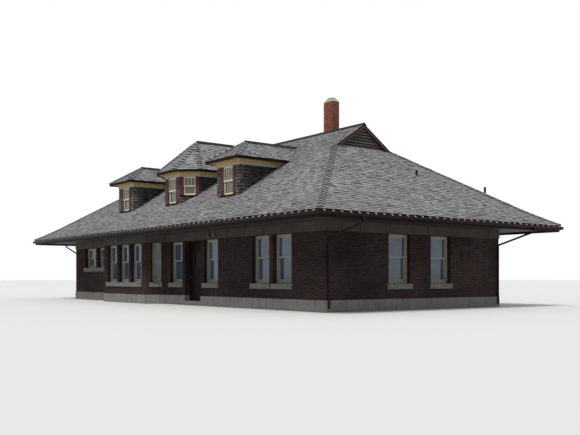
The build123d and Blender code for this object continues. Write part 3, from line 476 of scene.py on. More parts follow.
def metalwork(name, colour, roughness, metallic, shade_below=None):
    """Sheet or cast metal with dull patches and scuffs, and painted shade below a level where one is given.
    """
    finish = Finish(name, roughness, metallic, 0.1)
    dull = finish.spread(finish.noise(3, 5), 0.35, 0.7)
    rust = finish.spread(finish.noise(14, 5), 0.62, 0.75)
    shade = finish.stain(colour, dull, 0.5, darker(colour, 0.6))
    if shade_below is not None:
        # Painted shade: darker below the given level
        lower_shade = finish.spread(finish.position()["Z"], shade_below + 0.015, shade_below - 0.015)
        shade = finish.stain(shade, lower_shade, 0.85, darker(colour, 0.25))
    shade = finish.stain(shade, rust, 0.35, RUST)
    finish.height(finish.noise(25, 4), 0.2, 0.003)
    return finish.colour(shade)


def pane_glass(name, colour, specular, clear, upper=None):
    """Old window glass: smooth and slightly wavy, with another colour above the main roof's edge."""
    finish = Finish(name, 0.06, 0.0, specular)
    preset(finish.shader.inputs, {"Transmission Weight": clear, "IOR": 1.45})
    haze = finish.spread(finish.noise(1.1, 4), 0.35, 0.7)
    shade = finish.blend(haze, colour, darker(colour, 0.62))
    if upper is not None:
        above = finish.math("GREATER_THAN", finish.position()["Z"], EAVE)
        shade = finish.blend(above, shade, finish.blend(haze, upper, darker(upper, 0.75)))
    finish.height(finish.noise(2.2, 2), 0.1, 0.01)
    return finish.colour(shade)


def mix_finishes():
    """Mixes every finish once."""
    paint = colours()
    siding = paint.siding, paint.siding_dark
    wall = paint.brick, paint.brick_dark, linear(84, 74, 68)
    stack = paint.chimney, linear(120, 62, 50), linear(170, 150, 132)
    FINISHES.update(
        {
            "shingle": weathered_wood("roof_shingle", paint.shingle_light, paint.shingle_dark, ROOF_SHADOW_LINE),
            "cap": weathered_wood("cap_shingle", *CAP_TONES, CAP_SHADOW_LINE),
            "siding": weathered_wood("wall_shingle", *siding, SIDING_SHADOW_LINE, paint.siding_front_pale),
            "clapboard": weathered_wood("gablet_board", *CLAPBOARD_TONES, CAP_SHADOW_LINE),
            "brick": brickwork("wall_brick", *wall, paint.plaster),
            "chimney": brickwork("chimney_brick", *stack),
            "concrete": masonry("plinth_stone", paint.concrete, 0.6, 0.3, PLINTH_BLOCK),
            "sill": masonry("sill_stone", paint.sill, 0.4, 0.7),
            "cement": masonry("cement_wash", linear(190, 184, 168), 0.5),
            "tile": masonry("flue_clay", linear(84, 66, 58), 0.5),
            # Dark roof deck, its colour partly painted shade under the verges where its edge shows
            "deck_and_shade": painted("roof_deck", linear(38, 31, 30), 0.8, 0.5),
            "maroon": painted("maroon_paint", paint.maroon),
            "dark_trim": painted("dark_trim_paint", paint.dark_trim),
            "frieze": painted("frieze_paint", paint.frieze, 0.6, 0.7),
            "dormer_soffit": painted("dormer_soffit_paint", paint.dormer_soffit, 0.6, 0.4),
            "dormer_frieze": painted("dormer_frieze_paint", paint.dormer_frieze, 0.6, 0.4),
            "dormer_sill": painted("dormer_sill_paint", paint.gutter, 0.6, 0.5),
            "rake": painted("rake_paint", linear(88, 66, 66), 0.6, 0.5),
            "ridge": painted("ridge_metal_paint", linear(46, 46, 46), 0.6, 0.5),
            # Near-black edge boards, partly painted shade: along the main eave and the rakes they stand for
            # the dark gaps
            "edge_board_and_shade": painted("drip_edge_paint", linear(34, 18, 20), 0.7, 0.5),
            "cream": painted("cream_paint", paint.cream, 0.45, 0.3),
            "frame_paint": painted("window_paint", paint.frame_paint, 0.5, 0.5),
            "door": painted("door_paint", paint.door, 0.6, 0.5),
            # Soffit boards darkened as painted shade of the eaves
            "soffit": boarded("soffit_boards", paint.soffit, 0.085),
            "floor": floor_boards("floor_boards", linear(132, 98, 66)),
            # The panes' blue-grey is a painted reflection of the sky; above the eave, pale blinds
            "glass": pane_glass("window_pane", paint.glass, 0.8, 0.35, paint.curtained_glass),
            # Door pane near black: painted dark reflection of its recess
            "door_glass": pane_glass("door_pane", paint.door_glass, 0.03, 0.0),
            "gutter": metalwork("gutter_enamel", paint.gutter, 0.45, 0.0, GUTTER_SHADE_LEVEL),
            "pipe": metalwork("downspout_enamel", linear(40, 24, 26), 0.45, 0.0),
            # Hangers near white, partly a painted highlight for the glint of bare metal
            "metal": metalwork("bare_metal", paint.metal, 0.5, 0.0),
            "flashing": metalwork("flashing", linear(112, 118, 130), 0.45, 0.6),
            "vent": metalwork("vent_pipe", linear(30, 29, 30), 0.7, 0.0),
            "lamp": metalwork("lamp_enamel", linear(128, 128, 126), 0.4, 0.2),
            "brass": metalwork("door_brass", linear(112, 92, 58), 0.45, 0.8),
        }
    )


def dress(node, finish):
    """Gives a CAD node its finish."""
    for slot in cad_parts[node].material_slots:
        slot.material = FINISHES[finish]


# Mesh building

BOX_FACES = ((0, 2, 3, 1), (4, 5, 7, 6), (0, 1, 5, 4), (2, 6, 7, 3), (0, 4, 6, 2), (1, 3, 7, 5))


class Work:
    """Collects the faces of one object, with each point's grain and reach."""

    def __init__(self):
        self.points = []
        self.faces = []
        self.grain = []
        self.reach = []

    def add(self, points, faces, grain=None, reach=None):
        start = len(self.points)
        self.points += points
        self.grain += grain or [(point[0], point[2]) for point in points]
        self.reach += reach or [0] * len(points)
        self.faces += [tuple(start + index for index in face) for face in faces]

    def bar(self, low, high, place=Matrix()):
        """A straight bar between two corners of its own space."""
        sides, depths, levels = zip(low, high)
        self.add([place @ Vector((x, y, z)) for z in levels for y in depths for x in sides], BOX_FACES)

    def finish(self, name, finish, slot, bevel=0.0):
        """Makes the object, which rides on the building."""
        mesh = bpy.data.meshes.new(name)
        mesh.from_pydata(self.points, [], self.faces)
        grain = mesh.uv_layers.new(name="grain")
        reach = mesh.uv_layers.new(name="reach")
        for loop in mesh.loops:
            grain.data[loop.index].uv = self.grain[loop.vertex_index]
            reach.data[loop.index].uv = (self.reach[loop.vertex_index], 0)
        mesh.materials.append(FINISHES[finish])
        piece = bpy.data.objects.new(name, mesh)
        bpy.context.scene.collection.objects.link(piece)
        if bevel:
            modifier = piece.modifiers.new("edges", "BEVEL")
            modifier.width = bevel
            modifier.segments = 2
        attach(piece, BUILDING)


# Roof surfaces

FLARE_RISE = SLOPE * FLARE_RUN - FLARE_LIFT
CHORD_ANGLE = math.atan2(FLARE_RISE, FLARE_RUN)
HALF_SWEEP = PITCH - CHORD_ANGLE
FLARE_RADIUS = math.hypot(FLARE_RUN, FLARE_RISE) / (2 * math.sin(HALF_SWEEP))
EAVE_ANGLE = PITCH - 2 * HALF_SWEEP
FLARE_LENGTH = 2 * HALF_SWEEP * FLARE_RADIUS


def profile(distance):
    """Inset, rise and slope angle at a distance up the bell-cast roof from its edge."""
    if distance < FLARE_LENGTH:
        angle = EAVE_ANGLE + distance / FLARE_RADIUS
        inset = FLARE_RADIUS * (math.sin(angle) - math.sin(EAVE_ANGLE))
        rise = FLARE_RADIUS * (math.cos(EAVE_ANGLE) - math.cos(angle))
        return inset, rise, angle
    beyond = distance - FLARE_LENGTH
    return FLARE_RUN + beyond * math.cos(PITCH), FLARE_RISE + beyond * math.sin(PITCH), PITCH


def roof_level(inset):
    """Level of the straight part of the main roof."""
    return EAVE - FLARE_LIFT + SLOPE * inset


def roof_y(level):
    """Y at which the front of the main roof reaches a level."""
    return -HALF_EAVE_WIDTH + (level - EAVE + FLARE_LIFT) / SLOPE


def side_space(turn, depth):
    """Space at one side of the building: X along it, Y inwards from its face and Z up."""
    return Matrix.Rotation(math.radians(turn), 4, "Z") @ Matrix.Translation((0, -depth, 0))


def eaves():
    """The space at each side's eave, with half the side's length."""
    return [(side_space(turn, depth), half) for turn, depth, half in EAVE_SIDES.values()]


class MainSlope:
    """One side of the main roof. Turn 0 is the front, 90 the right end."""

    def __init__(self, turn, depth, half_span, top_inset):
        angle = math.radians(turn)
        self.along = Vector((math.cos(angle), math.sin(angle), 0))
        self.inward = Vector((-math.sin(angle), math.cos(angle), 0))
        self.depth = depth
        self.half_span = half_span
        self.top = FLARE_LENGTH + (top_inset - FLARE_RUN) / math.cos(PITCH)
        self.start = -MAIN_DRIP

    def point(self, across, distance, lift):
        inset, rise, angle = profile(distance)
        base = self.along * across + self.inward * (inset - self.depth) + UP * (EAVE + rise)
        return base + (UP * math.cos(angle) - self.inward * math.sin(angle)) * lift

    def limits(self, distance):
        inset = profile(distance)[0]
        half = self.half_span - inset
        if inset > GABLET_INSET:
            half = GABLET_X + GABLET_OVERHANG
        return -half, half


class FlatSlope:
    """A flat roof or wall face, limited by straight lines.

    A rule's constant, share across and share upwards add up to nought or more where the face is.
    """

    def __init__(self, origin, along, up, rules, top, start=-DORMER_DRIP):
        self.origin = origin
        self.along = along
        self.up = up
        self.normal = along.cross(up)
        self.rules = rules
        self.top = top
        self.start = start

    def point(self, across, distance, lift):
        return self.origin + self.along * across + self.up * distance + self.normal * lift

    def limits(self, distance):
        low, high = -100.0, 100.0
        for constant, across, upward in self.rules:
            value = constant + upward * distance
            if across > 1e-9:
                low = max(low, -value / across)
            elif across < -1e-9:
                high = min(high, -value / across)
            elif value < 0:
                return 0.0, -1.0
        return low, high


# Of one shingle: the gap beside it, its least width, how unevenly it is cut, its lap and its head.
# A course that would be lower than the least height is left out.
COURSE_LEAST = 0.02
SHINGLE_GAP = 0.005
SHINGLE_LEAST = 0.012
SHINGLE_UNEVEN = 0.012
SHINGLE_LAP = 1.15
SHINGLE_HEAD = 0.002


def lay_shingles(work, slope, exposure, butt, seed, skip=None):
    """Courses of shingles of uneven width, from the eave upwards."""
    random_source = random.Random(seed)
    narrow, wide = sizes().shingle_narrow, sizes().shingle_wide
    distance = slope.start
    while distance < slope.top - COURSE_LEAST:
        upper = min(distance + SHINGLE_LAP * exposure, slope.top)
        limits = slope.limits(distance), slope.limits(upper)
        across = min(left for left, _ in limits) - random_source.uniform(0, wide)
        finish = max(right for _, right in limits)
        while across < finish:
            width = random_source.uniform(narrow, wide)
            edges = []
            for left, right in limits:
                first = max(across, left)
                last = min(across + width - SHINGLE_GAP, right)
                edges.append((first, max(first, last)))
            across += width
            if max(last - first for first, last in edges) < SHINGLE_LEAST:
                continue
            middle = slope.point(sum(edges[0]) / 2, (distance + upper) / 2, 0)
            if skip and skip(middle):
                continue
            lift = butt * random_source.uniform(0.6, 1.4)
            drop = distance + random_source.uniform(-SHINGLE_UNEVEN, SHINGLE_UNEVEN)
            (left, right), (top_left, top_right) = edges
            corners = [(left, drop), (right, drop), (top_right, upper), (top_left, upper)]
            lifts = (lift, lift, SHINGLE_HEAD, SHINGLE_HEAD, 0.0, 0.0)
            points = [slope.point(*corner, out) for corner, out in zip(corners + corners[:2], lifts)]
            corners += [(left, drop - 0.01), (right, drop - 0.01)]
            twist = random_source.uniform(0, 40)
            grain = [(place + twist, height) for place, height in corners]
            # The butt face's reach of -1 makes the finish paint shade on it
            reach = [0, 0, SHINGLE_LAP, SHINGLE_LAP, -1, -1]
            work.add(points, [(0, 1, 2, 3), (4, 5, 1, 0), (4, 0, 3), (5, 2, 1)], grain, reach)
        distance += exposure


# Of one cap: its lap, the lift of its lower and upper end, and its wings' share of that
CAP_LAP = 1.25
CAP_SEAT = 0.03
CAP_HEAD = 0.034
WING_LIFT = 0.8


def lay_caps(work, line, length, exposure, width, seed, trim=0.0):
    """Overlapped pairs of cap shingles up a hip.

    The line gives, for a distance, its point and both slopes' outward directions and normals.
    The lowest cap's wings are trimmed back to the eaves.
    """
    butt = sizes().cap_butt
    random_source = random.Random(seed)
    count = max(1, round(length / exposure))
    step = length / count
    for index in range(count):
        low = index * step
        high = min(low + CAP_LAP * step, length)
        thickness = butt * random_source.uniform(0.85, 1.15)
        points = []
        for distance, lift in ((low, CAP_SEAT + thickness), (high, CAP_HEAD), (low, 0), (high, 0)):
            wing = line(distance + trim if distance == 0 else distance)[0]
            point, left, right, left_normal, right_normal = line(distance)
            crown = (left_normal + right_normal).normalized()
            crown_lift = lift / max(0.3, crown.dot(left_normal))
            points += [
                wing + left * width + left_normal * lift * WING_LIFT,
                point + crown * crown_lift,
                wing + right * width + right_normal * lift * WING_LIFT,
            ]
        twist = random_source.uniform(0, 40)
        grain = [(twist + side * 0.1, place) for place in (low, high, low, high) for side in (-1, 0, 1)]
        reach = [0, 0, 0, CAP_LAP, CAP_LAP, CAP_LAP]
        work.add(points[:6], [(0, 1, 4, 3), (1, 2, 5, 4)], grain[:6], reach)
        # The cap's butt and side faces get a reach below nought, which the finish paints as shade
        sides = [(6, 7, 1, 0), (7, 8, 2, 1), (6, 0, 3, 9), (8, 11, 5, 2)]
        work.add(points, sides, grain, [-0.5] * 12)


def hip_line(start, run, left_inward, right_inward, angles):
    """A hip that climbs between two slopes. Angles gives each distance's inset, rise and pitch."""

    def line(distance):
        inset, rise, pitch = angles(distance)
        point = start + run * inset + UP * rise
        climb = (run * math.cos(pitch) + UP * math.sin(pitch)).normalized()
        sides = []
        for inward in (left_inward, right_inward):
            normal = UP * math.cos(pitch) - inward * math.sin(pitch)
            sideways = normal.cross(climb).normalized()
            sides.append((sideways, normal))
        (left, left_normal), (right, right_normal) = sides
        across = right_inward - left_inward
        if left.dot(across) < 0:
            left = -left
        if right.dot(across) > 0:
            right = -right
        return point, left, right, left_normal, right_normal

    return line


def straight_pitch(tangent, run_length):
    """Inset, rise and pitch along a straight hip, by distance measured on the slope."""
    pitch = math.atan(tangent)

    def at(distance):
        inset = distance * math.cos(pitch)
        return inset, inset * tangent, pitch

    return at, run_length / math.cos(pitch)


# Dormer plans

def dormer_plan(x, half, cant, offset):
    """Plan corners of a dormer's outline from its left rear round to its right rear."""
    side = half + offset
    front = DORMER_FRONT - offset
    if not cant:
        corners = [(-side, 0), (-side, front), (side, front), (side, 0)]
    else:
        trim = offset * math.tan(HALF_CORNER)
        shoulder = DORMER_FRONT + cant - trim
        corner = half - cant + trim
        corners = [(-side, 0), (-side, shoulder), (-corner, front)]
        corners += [(-across, place) for across, place in reversed(corners)]
    return [Vector((x + a, b, 0)) for a, b in corners]


def all_dormers():
    squares = [(x, SQUARE_HALF, 0.0, SLOPE) for x in SQUARE_DORMERS]
    return squares + [(OCTAGON_X, OCTAGON_HALF, OCTAGON_CANT, OCTAGON_SLOPE)]


def inside_dormer(point):
    """Whether a point of the main roof lies under a dormer's walls."""
    for x, half, cant, _ in all_dormers():
        sideways = abs(point.x - x)
        behind = point.y - DORMER_FRONT
        clear = 0.03
        if sideways < half - clear and behind > clear and point.z < DORMER_FRIEZE + 0.2:
            if sideways - (half - cant) < behind - clear:
                return True
    return False


def plan_edges(plan):
    """Each edge's start, direction and inward direction."""
    edges = []
    for start, finish in zip(plan, plan[1:]):
        along = (finish - start).normalized()
        edges.append((start, along, Vector((-along.y, along.x, 0))))
    return edges


def dormer_slopes(dormer):
    """The slopes of a dormer's roof, cut where they meet each other and the main roof."""
    x, half, cant, tangent = dormer
    pitch = math.atan(tangent)
    edges = plan_edges(dormer_plan(x, half, cant, DORMER_REACH))
    slopes = []
    for index, (start, along, inward) in enumerate(edges):
        run = math.cos(pitch)
        rules = []
        for other, (place, _, into) in enumerate(edges):
            if other != index:
                rules.append(((start - place).dot(into), along.dot(into), (inward.dot(into) - 1) * run))
        above = DORMER_EAVE - EAVE + FLARE_LIFT - SLOPE * (start.y + HALF_EAVE_WIDTH)
        rules.append((above, -SLOPE * along.y, (tangent - SLOPE * inward.y) * run))
        rules.append((-start.y, -along.y, -inward.y * run))
        up = inward * run + UP * math.sin(pitch)
        top = (half + DORMER_REACH) / run
        slopes.append(FlatSlope(start + UP * DORMER_EAVE, along, up, rules, top))
    return slopes


# Operators

class STATION_OT_finishes(bpy.types.Operator):
    """Mix the finishes and give each CAD node its own"""

    bl_idname = "station.finishes"
    bl_label = "Finishes"

    def execute(self, context):
        mix_finishes()
        choices = {
            "brick": "front_wall_left front_wall_middle front_wall_right front_door_lintel bay_front_wall "
                     "bay_side_walls end_walls rear_wall",
            "concrete": "long_plinths bay_plinth end_plinths door_steps",
            "sill": "window_sills",
            "frame_paint": "window_frames window_sashes",
            "glass": "window_glass",
            "door_glass": "front_door_glass",
            "door": "door_frames transom_panels rear_door front_door",
            "brass": "rear_door_hardware front_door_hardware hinge_pins",
            "frieze": "frieze_boards",
            "deck_and_shade": "main_roof dormer_roofs",
            "floor": "ground_floor attic_floor",
            "soffit": "soffit",
            "dark_trim": "fascia dormer_fascias",
            "gutter": "long_gutters end_gutters",
            "siding": "gablet_walls dormer_walls",
            "maroon": "dormer_casings",
            "rake": "gablet_rakes",
            "dormer_soffit": "dormer_soffits",
            "dormer_frieze": "dormer_friezes",
            "cream": "dormer_sashes",
            "chimney": "chimney_stack",
            "cement": "chimney_cap",
            "tile": "chimney_pot",
            "vent": "vent_pipes",
            "pipe": "downspouts",
            "lamp": "lamps",
        }
        for finish, nodes in choices.items():
            for node in nodes.split():
                dress(node, finish)
        return {"FINISHED"}


class STATION_OT_roof_shingles(bpy.types.Operator):
    """Lay the shingles of the main roof, one object for each side"""

    bl_idname = "station.roof_shingles"
    bl_label = "Main roof shingles"

    def execute(self, context):
        size = sizes()
        for seed, (side, (turn, depth, half)) in enumerate(EAVE_SIDES.items()):
            work = Work()
            top_inset = GABLET_INSET if side in ("left", "right") else HALF_EAVE_WIDTH
            skip = inside_dormer if side == "front" else None
            slope = MainSlope(turn, depth, half, top_inset)
            lay_shingles(work, slope, size.shingle_exposure, size.shingle_butt, seed, skip)
            work.finish(f"roof_shingles_{side}", "shingle", "shingles")
        return {"FINISHED"}


# By a cap's width: how far back the lowest caps are trimmed, and how wide the dormers' caps are
MAIN_TRIM = 1.1
DORMER_TRIM = 0.5
DORMER_CAP = 1.15


class STATION_OT_roof_caps(bpy.types.Operator):
    """Lay the cap shingles over the hips"""

    bl_idname = "station.roof_caps"
    bl_label = "Hip caps"

    def execute(self, context):
        size = sizes()
        exposure, width = size.cap_exposure, size.cap_width
        work = Work()
        length = FLARE_LENGTH + (GABLET_INSET - FLARE_RUN) / math.cos(PITCH)
        for x_side in (-1, 1):
            for y_side in (-1, 1):
                corner = Vector((x_side * HALF_EAVE_LENGTH, y_side * HALF_EAVE_WIDTH, EAVE))
                run = Vector((-x_side, -y_side, 0))
                inward = [Vector((0, -y_side, 0)), Vector((-x_side, 0, 0))]
                if x_side * y_side > 0:
                    inward.reverse()
                line = hip_line(corner, run, *inward, profile)
                lay_caps(work, line, length, exposure, width, x_side + 3 * y_side, MAIN_TRIM * width)
        for dormer in all_dormers():
            self.dormer_caps(work, dormer, exposure, DORMER_CAP * width)
        work.finish("roof_caps", "cap", "shingles")
        return {"FINISHED"}

    def dormer_caps(self, work, dormer, exposure, width):
        x, half, cant, tangent = dormer
        edges = plan_edges(dormer_plan(x, half, cant, DORMER_REACH))
        reach = half + DORMER_REACH
        meeting = reach
        if cant:
            corner_side = (edges[2][0] - edges[1][0]).length
            meeting = corner_side / (2 * math.tan(HALF_CORNER))
        for first, second in zip(edges, edges[1:]):
            corner = second[0]
            run = (first[2] + second[2]) / (1 + first[2].dot(second[2]))
            angles, length = straight_pitch(tangent, meeting)
            line = hip_line(corner + UP * DORMER_EAVE, run, second[2], first[2], angles)
            lay_caps(work, line, length, exposure, width, 11, DORMER_TRIM * width)
        if cant:
            self.upper_hips(work, x, reach, meeting, tangent, exposure, width)

    def upper_hips(self, work, x, reach, meeting, tangent, exposure, width):
        """The short hips between front and sides, above where the cut corners run out."""
        for side in (-1, 1):
            corner = Vector((x + side * reach, DORMER_FRONT - DORMER_REACH, DORMER_EAVE))
            run = Vector((-side, 1, 0))
            angles, length = straight_pitch(tangent, reach - meeting)
            start = corner + run * meeting + UP * meeting * tangent
            line = hip_line(start, run, Vector((0, 1, 0)), Vector((-side, 0, 0)), angles)
            lay_caps(work, line, length, exposure, width, 13)


class STATION_OT_dormer_shingles(bpy.types.Operator):
    """Lay the shingles of the dormer roofs"""

    bl_idname = "station.dormer_shingles"
    bl_label = "Dormer roof shingles"

    def execute(self, context):
        size = sizes()
        work = Work()
        for number, dormer in enumerate(all_dormers()):
            for index, slope in enumerate(dormer_slopes(dormer)):
                lay_shingles(work, slope, size.shingle_exposure, size.shingle_butt, 20 * number + index)
        work.finish("dormer_shingles", "shingle", "shingles")
        return {"FINISHED"}


class STATION_OT_dormer_siding(bpy.types.Operator):
    """Hang the wall shingles on the dormers"""

    bl_idname = "station.dormer_siding"
    bl_label = "Dormer wall shingles"

    def execute(self, context):
        work = Work()
        for number, (x, half, cant, _) in enumerate(all_dormers()):
            shoulder = DORMER_FRONT + cant
            base = roof_level(HALF_EAVE_WIDTH + shoulder)
            faces = [
                (Vector((x + half, shoulder, base)), Vector((0, 1, 0))),
                (Vector((x - half, 0, base)), Vector((0, -1, 0))),
            ]
            for index, (origin, along) in enumerate(faces):
                rules = [self.roof_rule(origin, along), self.front_rule(origin, along, shoulder)]
                self.hang(work, origin, along, rules, DORMER_FRIEZE - base, 40 + 10 * number + index)
            self.front_strips(work, x, half - cant, 70 + number)
            if cant:
                self.aprons(work, x, half, cant)
        work.finish("dormer_siding", "siding", "siding")
        return {"FINISHED"}

    def hang(self, work, origin, along, rules, height, seed):
        """Shingles on one upright face."""
        size = sizes()
        wall = FlatSlope(origin, along, UP, rules, height, 0.0)
        lay_shingles(work, wall, size.siding_exposure, size.siding_butt, seed)

    def roof_rule(self, origin, along):
        """The wall shows only above the main roof."""
        return (HALF_EAVE_WIDTH + origin.y) * -SLOPE + origin.z - EAVE + FLARE_LIFT, -SLOPE * along.y, 1

    def front_rule(self, origin, along, shoulder):
        """The wall starts at its front corner."""
        return origin.y - shoulder, along.y, 0

    def front_strips(self, work, x, half, seed):
        """Shingles each side of the casings on the front face."""
        base = roof_level(HALF_EAVE_WIDTH + DORMER_FRONT)
        for side in (-1, 1):
            left, right = sorted((side * CASING_END, side * half))
            rules = [(-left, 1, 0), (right, -1, 0)]
            origin = Vector((x, DORMER_FRONT, base))
            self.hang(work, origin, Vector((1, 0, 0)), rules, DORMER_FRIEZE - base, seed + side)

    def aprons(self, work, x, half, cant):
        """Shingles below the windows of the eight-sided dormer's cut faces."""
        base = roof_level(HALF_EAVE_WIDTH + DORMER_FRONT)
        face = cant * math.sqrt(2)
        starts = ((half - cant, 0, 1), (-half, cant, -1))
        for index, (across, back, turn) in enumerate(starts):
            origin = Vector((x + across, DORMER_FRONT + back, base))
            along = Vector((1, turn, 0)).normalized()
            rules = [self.roof_rule(origin, along), (0, 1, 0), (face, -1, 0)]
            self.hang(work, origin, along, rules, APRON_TOP - base, 90 + index)


# How far a clapboard's lower and upper edge stand out from the wall, and its lap
BOARD_BUTT = 0.022
BOARD_HEAD = 0.004
BOARD_LAP = 1.1


class STATION_OT_gablet_boards(bpy.types.Operator):
    """Nail the clapboards on the gablets"""

    bl_idname = "station.gablet_boards"
    bl_label = "Gablet clapboards"

    def execute(self, context):
        exposure = sizes().clapboard
        work = Work()
        base = roof_level(GABLET_INSET)
        apex = RIDGE - ROOF_THICKNESS
        for side in (-1, 1):
            level = base - 0.02
            while level < apex - 0.03:
                top = min(level + BOARD_LAP * exposure, apex)
                low_half = (apex - level) / SLOPE
                top_half = max(0.01, (apex - top) / SLOPE)
                face = side * GABLET_X
                points = []
                edges = [(low_half, level, BOARD_BUTT), (top_half, top, BOARD_HEAD), (low_half, level, 0.0)]
                for half, height, out in edges:
                    points += [Vector((face + side * out, end * half, height)) for end in (-side, side)]
                grain = [(point.y * 0.05, point.z * 8) for point in points]
                # The board's butt face gets a reach of -1, which the finish paints as shade
                work.add(points, [(0, 1, 3, 2), (4, 5, 1, 0)], grain, [0, 0, BOARD_LAP, BOARD_LAP, -1, -1])
                level += exposure
        work.finish("gablet_clapboards", "clapboard", "siding")
        return {"FINISHED"}


# How far a valley's fold stands off the slope and off the dormer, and its wings' width and rise
FOLD_OFF_SLOPE = 0.008
FOLD_OFF_DORMER = 0.02
VALLEY_WING = 0.035

# The chimney's collar: its gap from the stack, half its thickness and its heights
COLLAR_GAP = 0.006
COLLAR_HALF = 0.002
COLLAR_SIDE = 0.16
COLLAR_FRONT = 0.14


class STATION_OT_flashings(bpy.types.Operator):
    """Fold the flashings into the valleys and round the chimney"""

    bl_idname = "station.flashings"
    bl_label = "Flashings"

    def execute(self, context):
        work = Work()
        for x, half, _, tangent in all_dormers():
            for side in (-1, 1):
                self.valley(work, x, side, half, tangent)
        self.chimney(work)
        work.finish("roof_flashings", "flashing", "vent_metal")
        return {"FINISHED"}

    def valley(self, work, x, side, half, tangent):
        """Two narrow strips along the line where a dormer slope meets the main roof."""
        reach = half + DORMER_REACH
        ends = []
        for inset in (0.0, reach):
            level = DORMER_EAVE + tangent * inset
            y = min(0.0, roof_y(level))
            ends.append(Vector((x + side * (reach - inset), y, level)))
        line = (ends[1] - ends[0]).normalized()
        main_normal = Vector((0, -math.sin(PITCH), math.cos(PITCH)))
        pitch = math.atan(tangent)
        own_normal = Vector((side * math.sin(pitch), 0, math.cos(pitch)))
        for normal, outward in ((main_normal, side), (own_normal, -side)):
            wing = normal.cross(line).normalized()
            if wing.x * outward < 0:
                wing = -wing
            points = []
            for end in ends:
                points.append(end + normal * FOLD_OFF_SLOPE + own_normal * FOLD_OFF_DORMER)
                points.append(end + wing * VALLEY_WING + normal * VALLEY_WING)
            work.add(points, [(0, 1, 3, 2)])

    def chimney(self, work):
        """A collar of flashing where the stack passes the rear slope."""
        low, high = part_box("chimney_stack")
        left, right = low.x - COLLAR_GAP, high.x + COLLAR_GAP
        for x in (left, right):
            points = []
            for y in (low.y, high.y):
                level = roof_level(HALF_EAVE_WIDTH - y)
                points += [Vector((x, y, level)), Vector((x, y, level + COLLAR_SIDE))]
            work.add(points, [(0, 2, 3, 1)])
        for y in (low.y - COLLAR_GAP, high.y + COLLAR_GAP):
            level = roof_level(HALF_EAVE_WIDTH - y)
            work.bar((left, y - COLLAR_HALF, level), (right, y + COLLAR_HALF, level + COLLAR_FRONT))


# Of the window bars: their bevel and thickness, and the sash's rails and stiles that they meet
BAR_BEVEL = 0.003
BAR_DEPTH = 0.012
HALF_RAIL = 0.0275
HEAD_RAIL = 0.048
TWO_STILES = 0.1

# A dormer window wider than this has three bars, a narrower one two
WIDE_WINDOW = 0.6


def dormer_windows():
    """Each dormer window: its space with the middle at X = 0, its width and its bottom."""
    windows = []
    for x, half, cant, _ in all_dormers():
        windows.append((Matrix.Translation((x, DORMER_FRONT, 0)), *FRONT_WINDOW))
        if cant:
            for side in (-1, 1):
                place = Matrix.Translation((x + side * (half - cant / 2), DORMER_FRONT + cant / 2, 0))
                turn = Matrix.Rotation(math.radians(45 * side), 4, "Z")
                windows.append((place @ turn, *CUT_FACE_WINDOW))
    return windows


class STATION_OT_small_window_bars(bpy.types.Operator):
    """Fit the bars in the small high windows"""

    bl_idname = "station.small_window_bars"
    bl_label = "Small window bars"

    def execute(self, context):
        width = 0.8 * sizes().bar_width
        work = Work()
        clear = SMALL_WIDTH - 2 * SMALL_FRAME
        for x in SMALL_WINDOWS:
            place = Matrix.Translation((x, WALL_FRONT, 0))
            for bottom, top, depth in SMALL_SASHES:
                for index in range(4):
                    across = -clear / 2 + clear * (index + 1) / 5
                    low = (across - width / 2, depth, bottom)
                    work.bar(low, (across + width / 2, depth + BAR_DEPTH, top), place)
                middle = (bottom + top) / 2
                low = (-clear / 2, depth + 0.001, middle - width / 2)
                work.bar(low, (clear / 2, depth + 0.011, middle + width / 2), place)
        work.finish("small_window_bars", "frame_paint", "frame_paint", BAR_BEVEL)
        return {"FINISHED"}


class STATION_OT_dormer_bars(bpy.types.Operator):
    """Fit the upright bars in the upper dormer sashes"""

    bl_idname = "station.dormer_bars"
    bl_label = "Dormer window bars"

    def execute(self, context):
        width = sizes().bar_width
        work = Work()
        for place, opening, bottom in dormer_windows():
            clear = opening - TWO_STILES
            rail = (bottom + DORMER_FRIEZE) / 2 + HALF_RAIL
            bars = 3 if opening > WIDE_WINDOW else 2
            for index in range(bars):
                x = -clear / 2 + clear * (index + 1) / (bars + 1)
                low = (x - width / 2, 2 * BAR_DEPTH, rail - 0.002)
                work.bar(low, (x + width / 2, 3 * BAR_DEPTH, DORMER_FRIEZE - HEAD_RAIL), place)
        work.finish("dormer_bars", "cream", "cream_paint", BAR_BEVEL)
        return {"FINISHED"}


# Edge boards of the dormers: below and above the eave's level, and their thickness
EDGE_DROP = 0.118
EDGE_RISE = 0.012
EDGE_THICKNESS = 0.008

# Thickness of the main roof's drip board
DRIP_BOARD = 0.006

# Where a metal ridge ends: past the rake boards, over a dormer's hips and before the main ridge
ROLL_PAST_RAKE = 0.01
ROLL_OVER_HIPS = 0.03
ROLL_BACK = -0.06

# Strips on the gablets' rake boards: their lower and upper edge below the roof, and their thickness
STRIP_EDGES = (0.045, 0.004)
STRIP_THICKNESS = 0.012


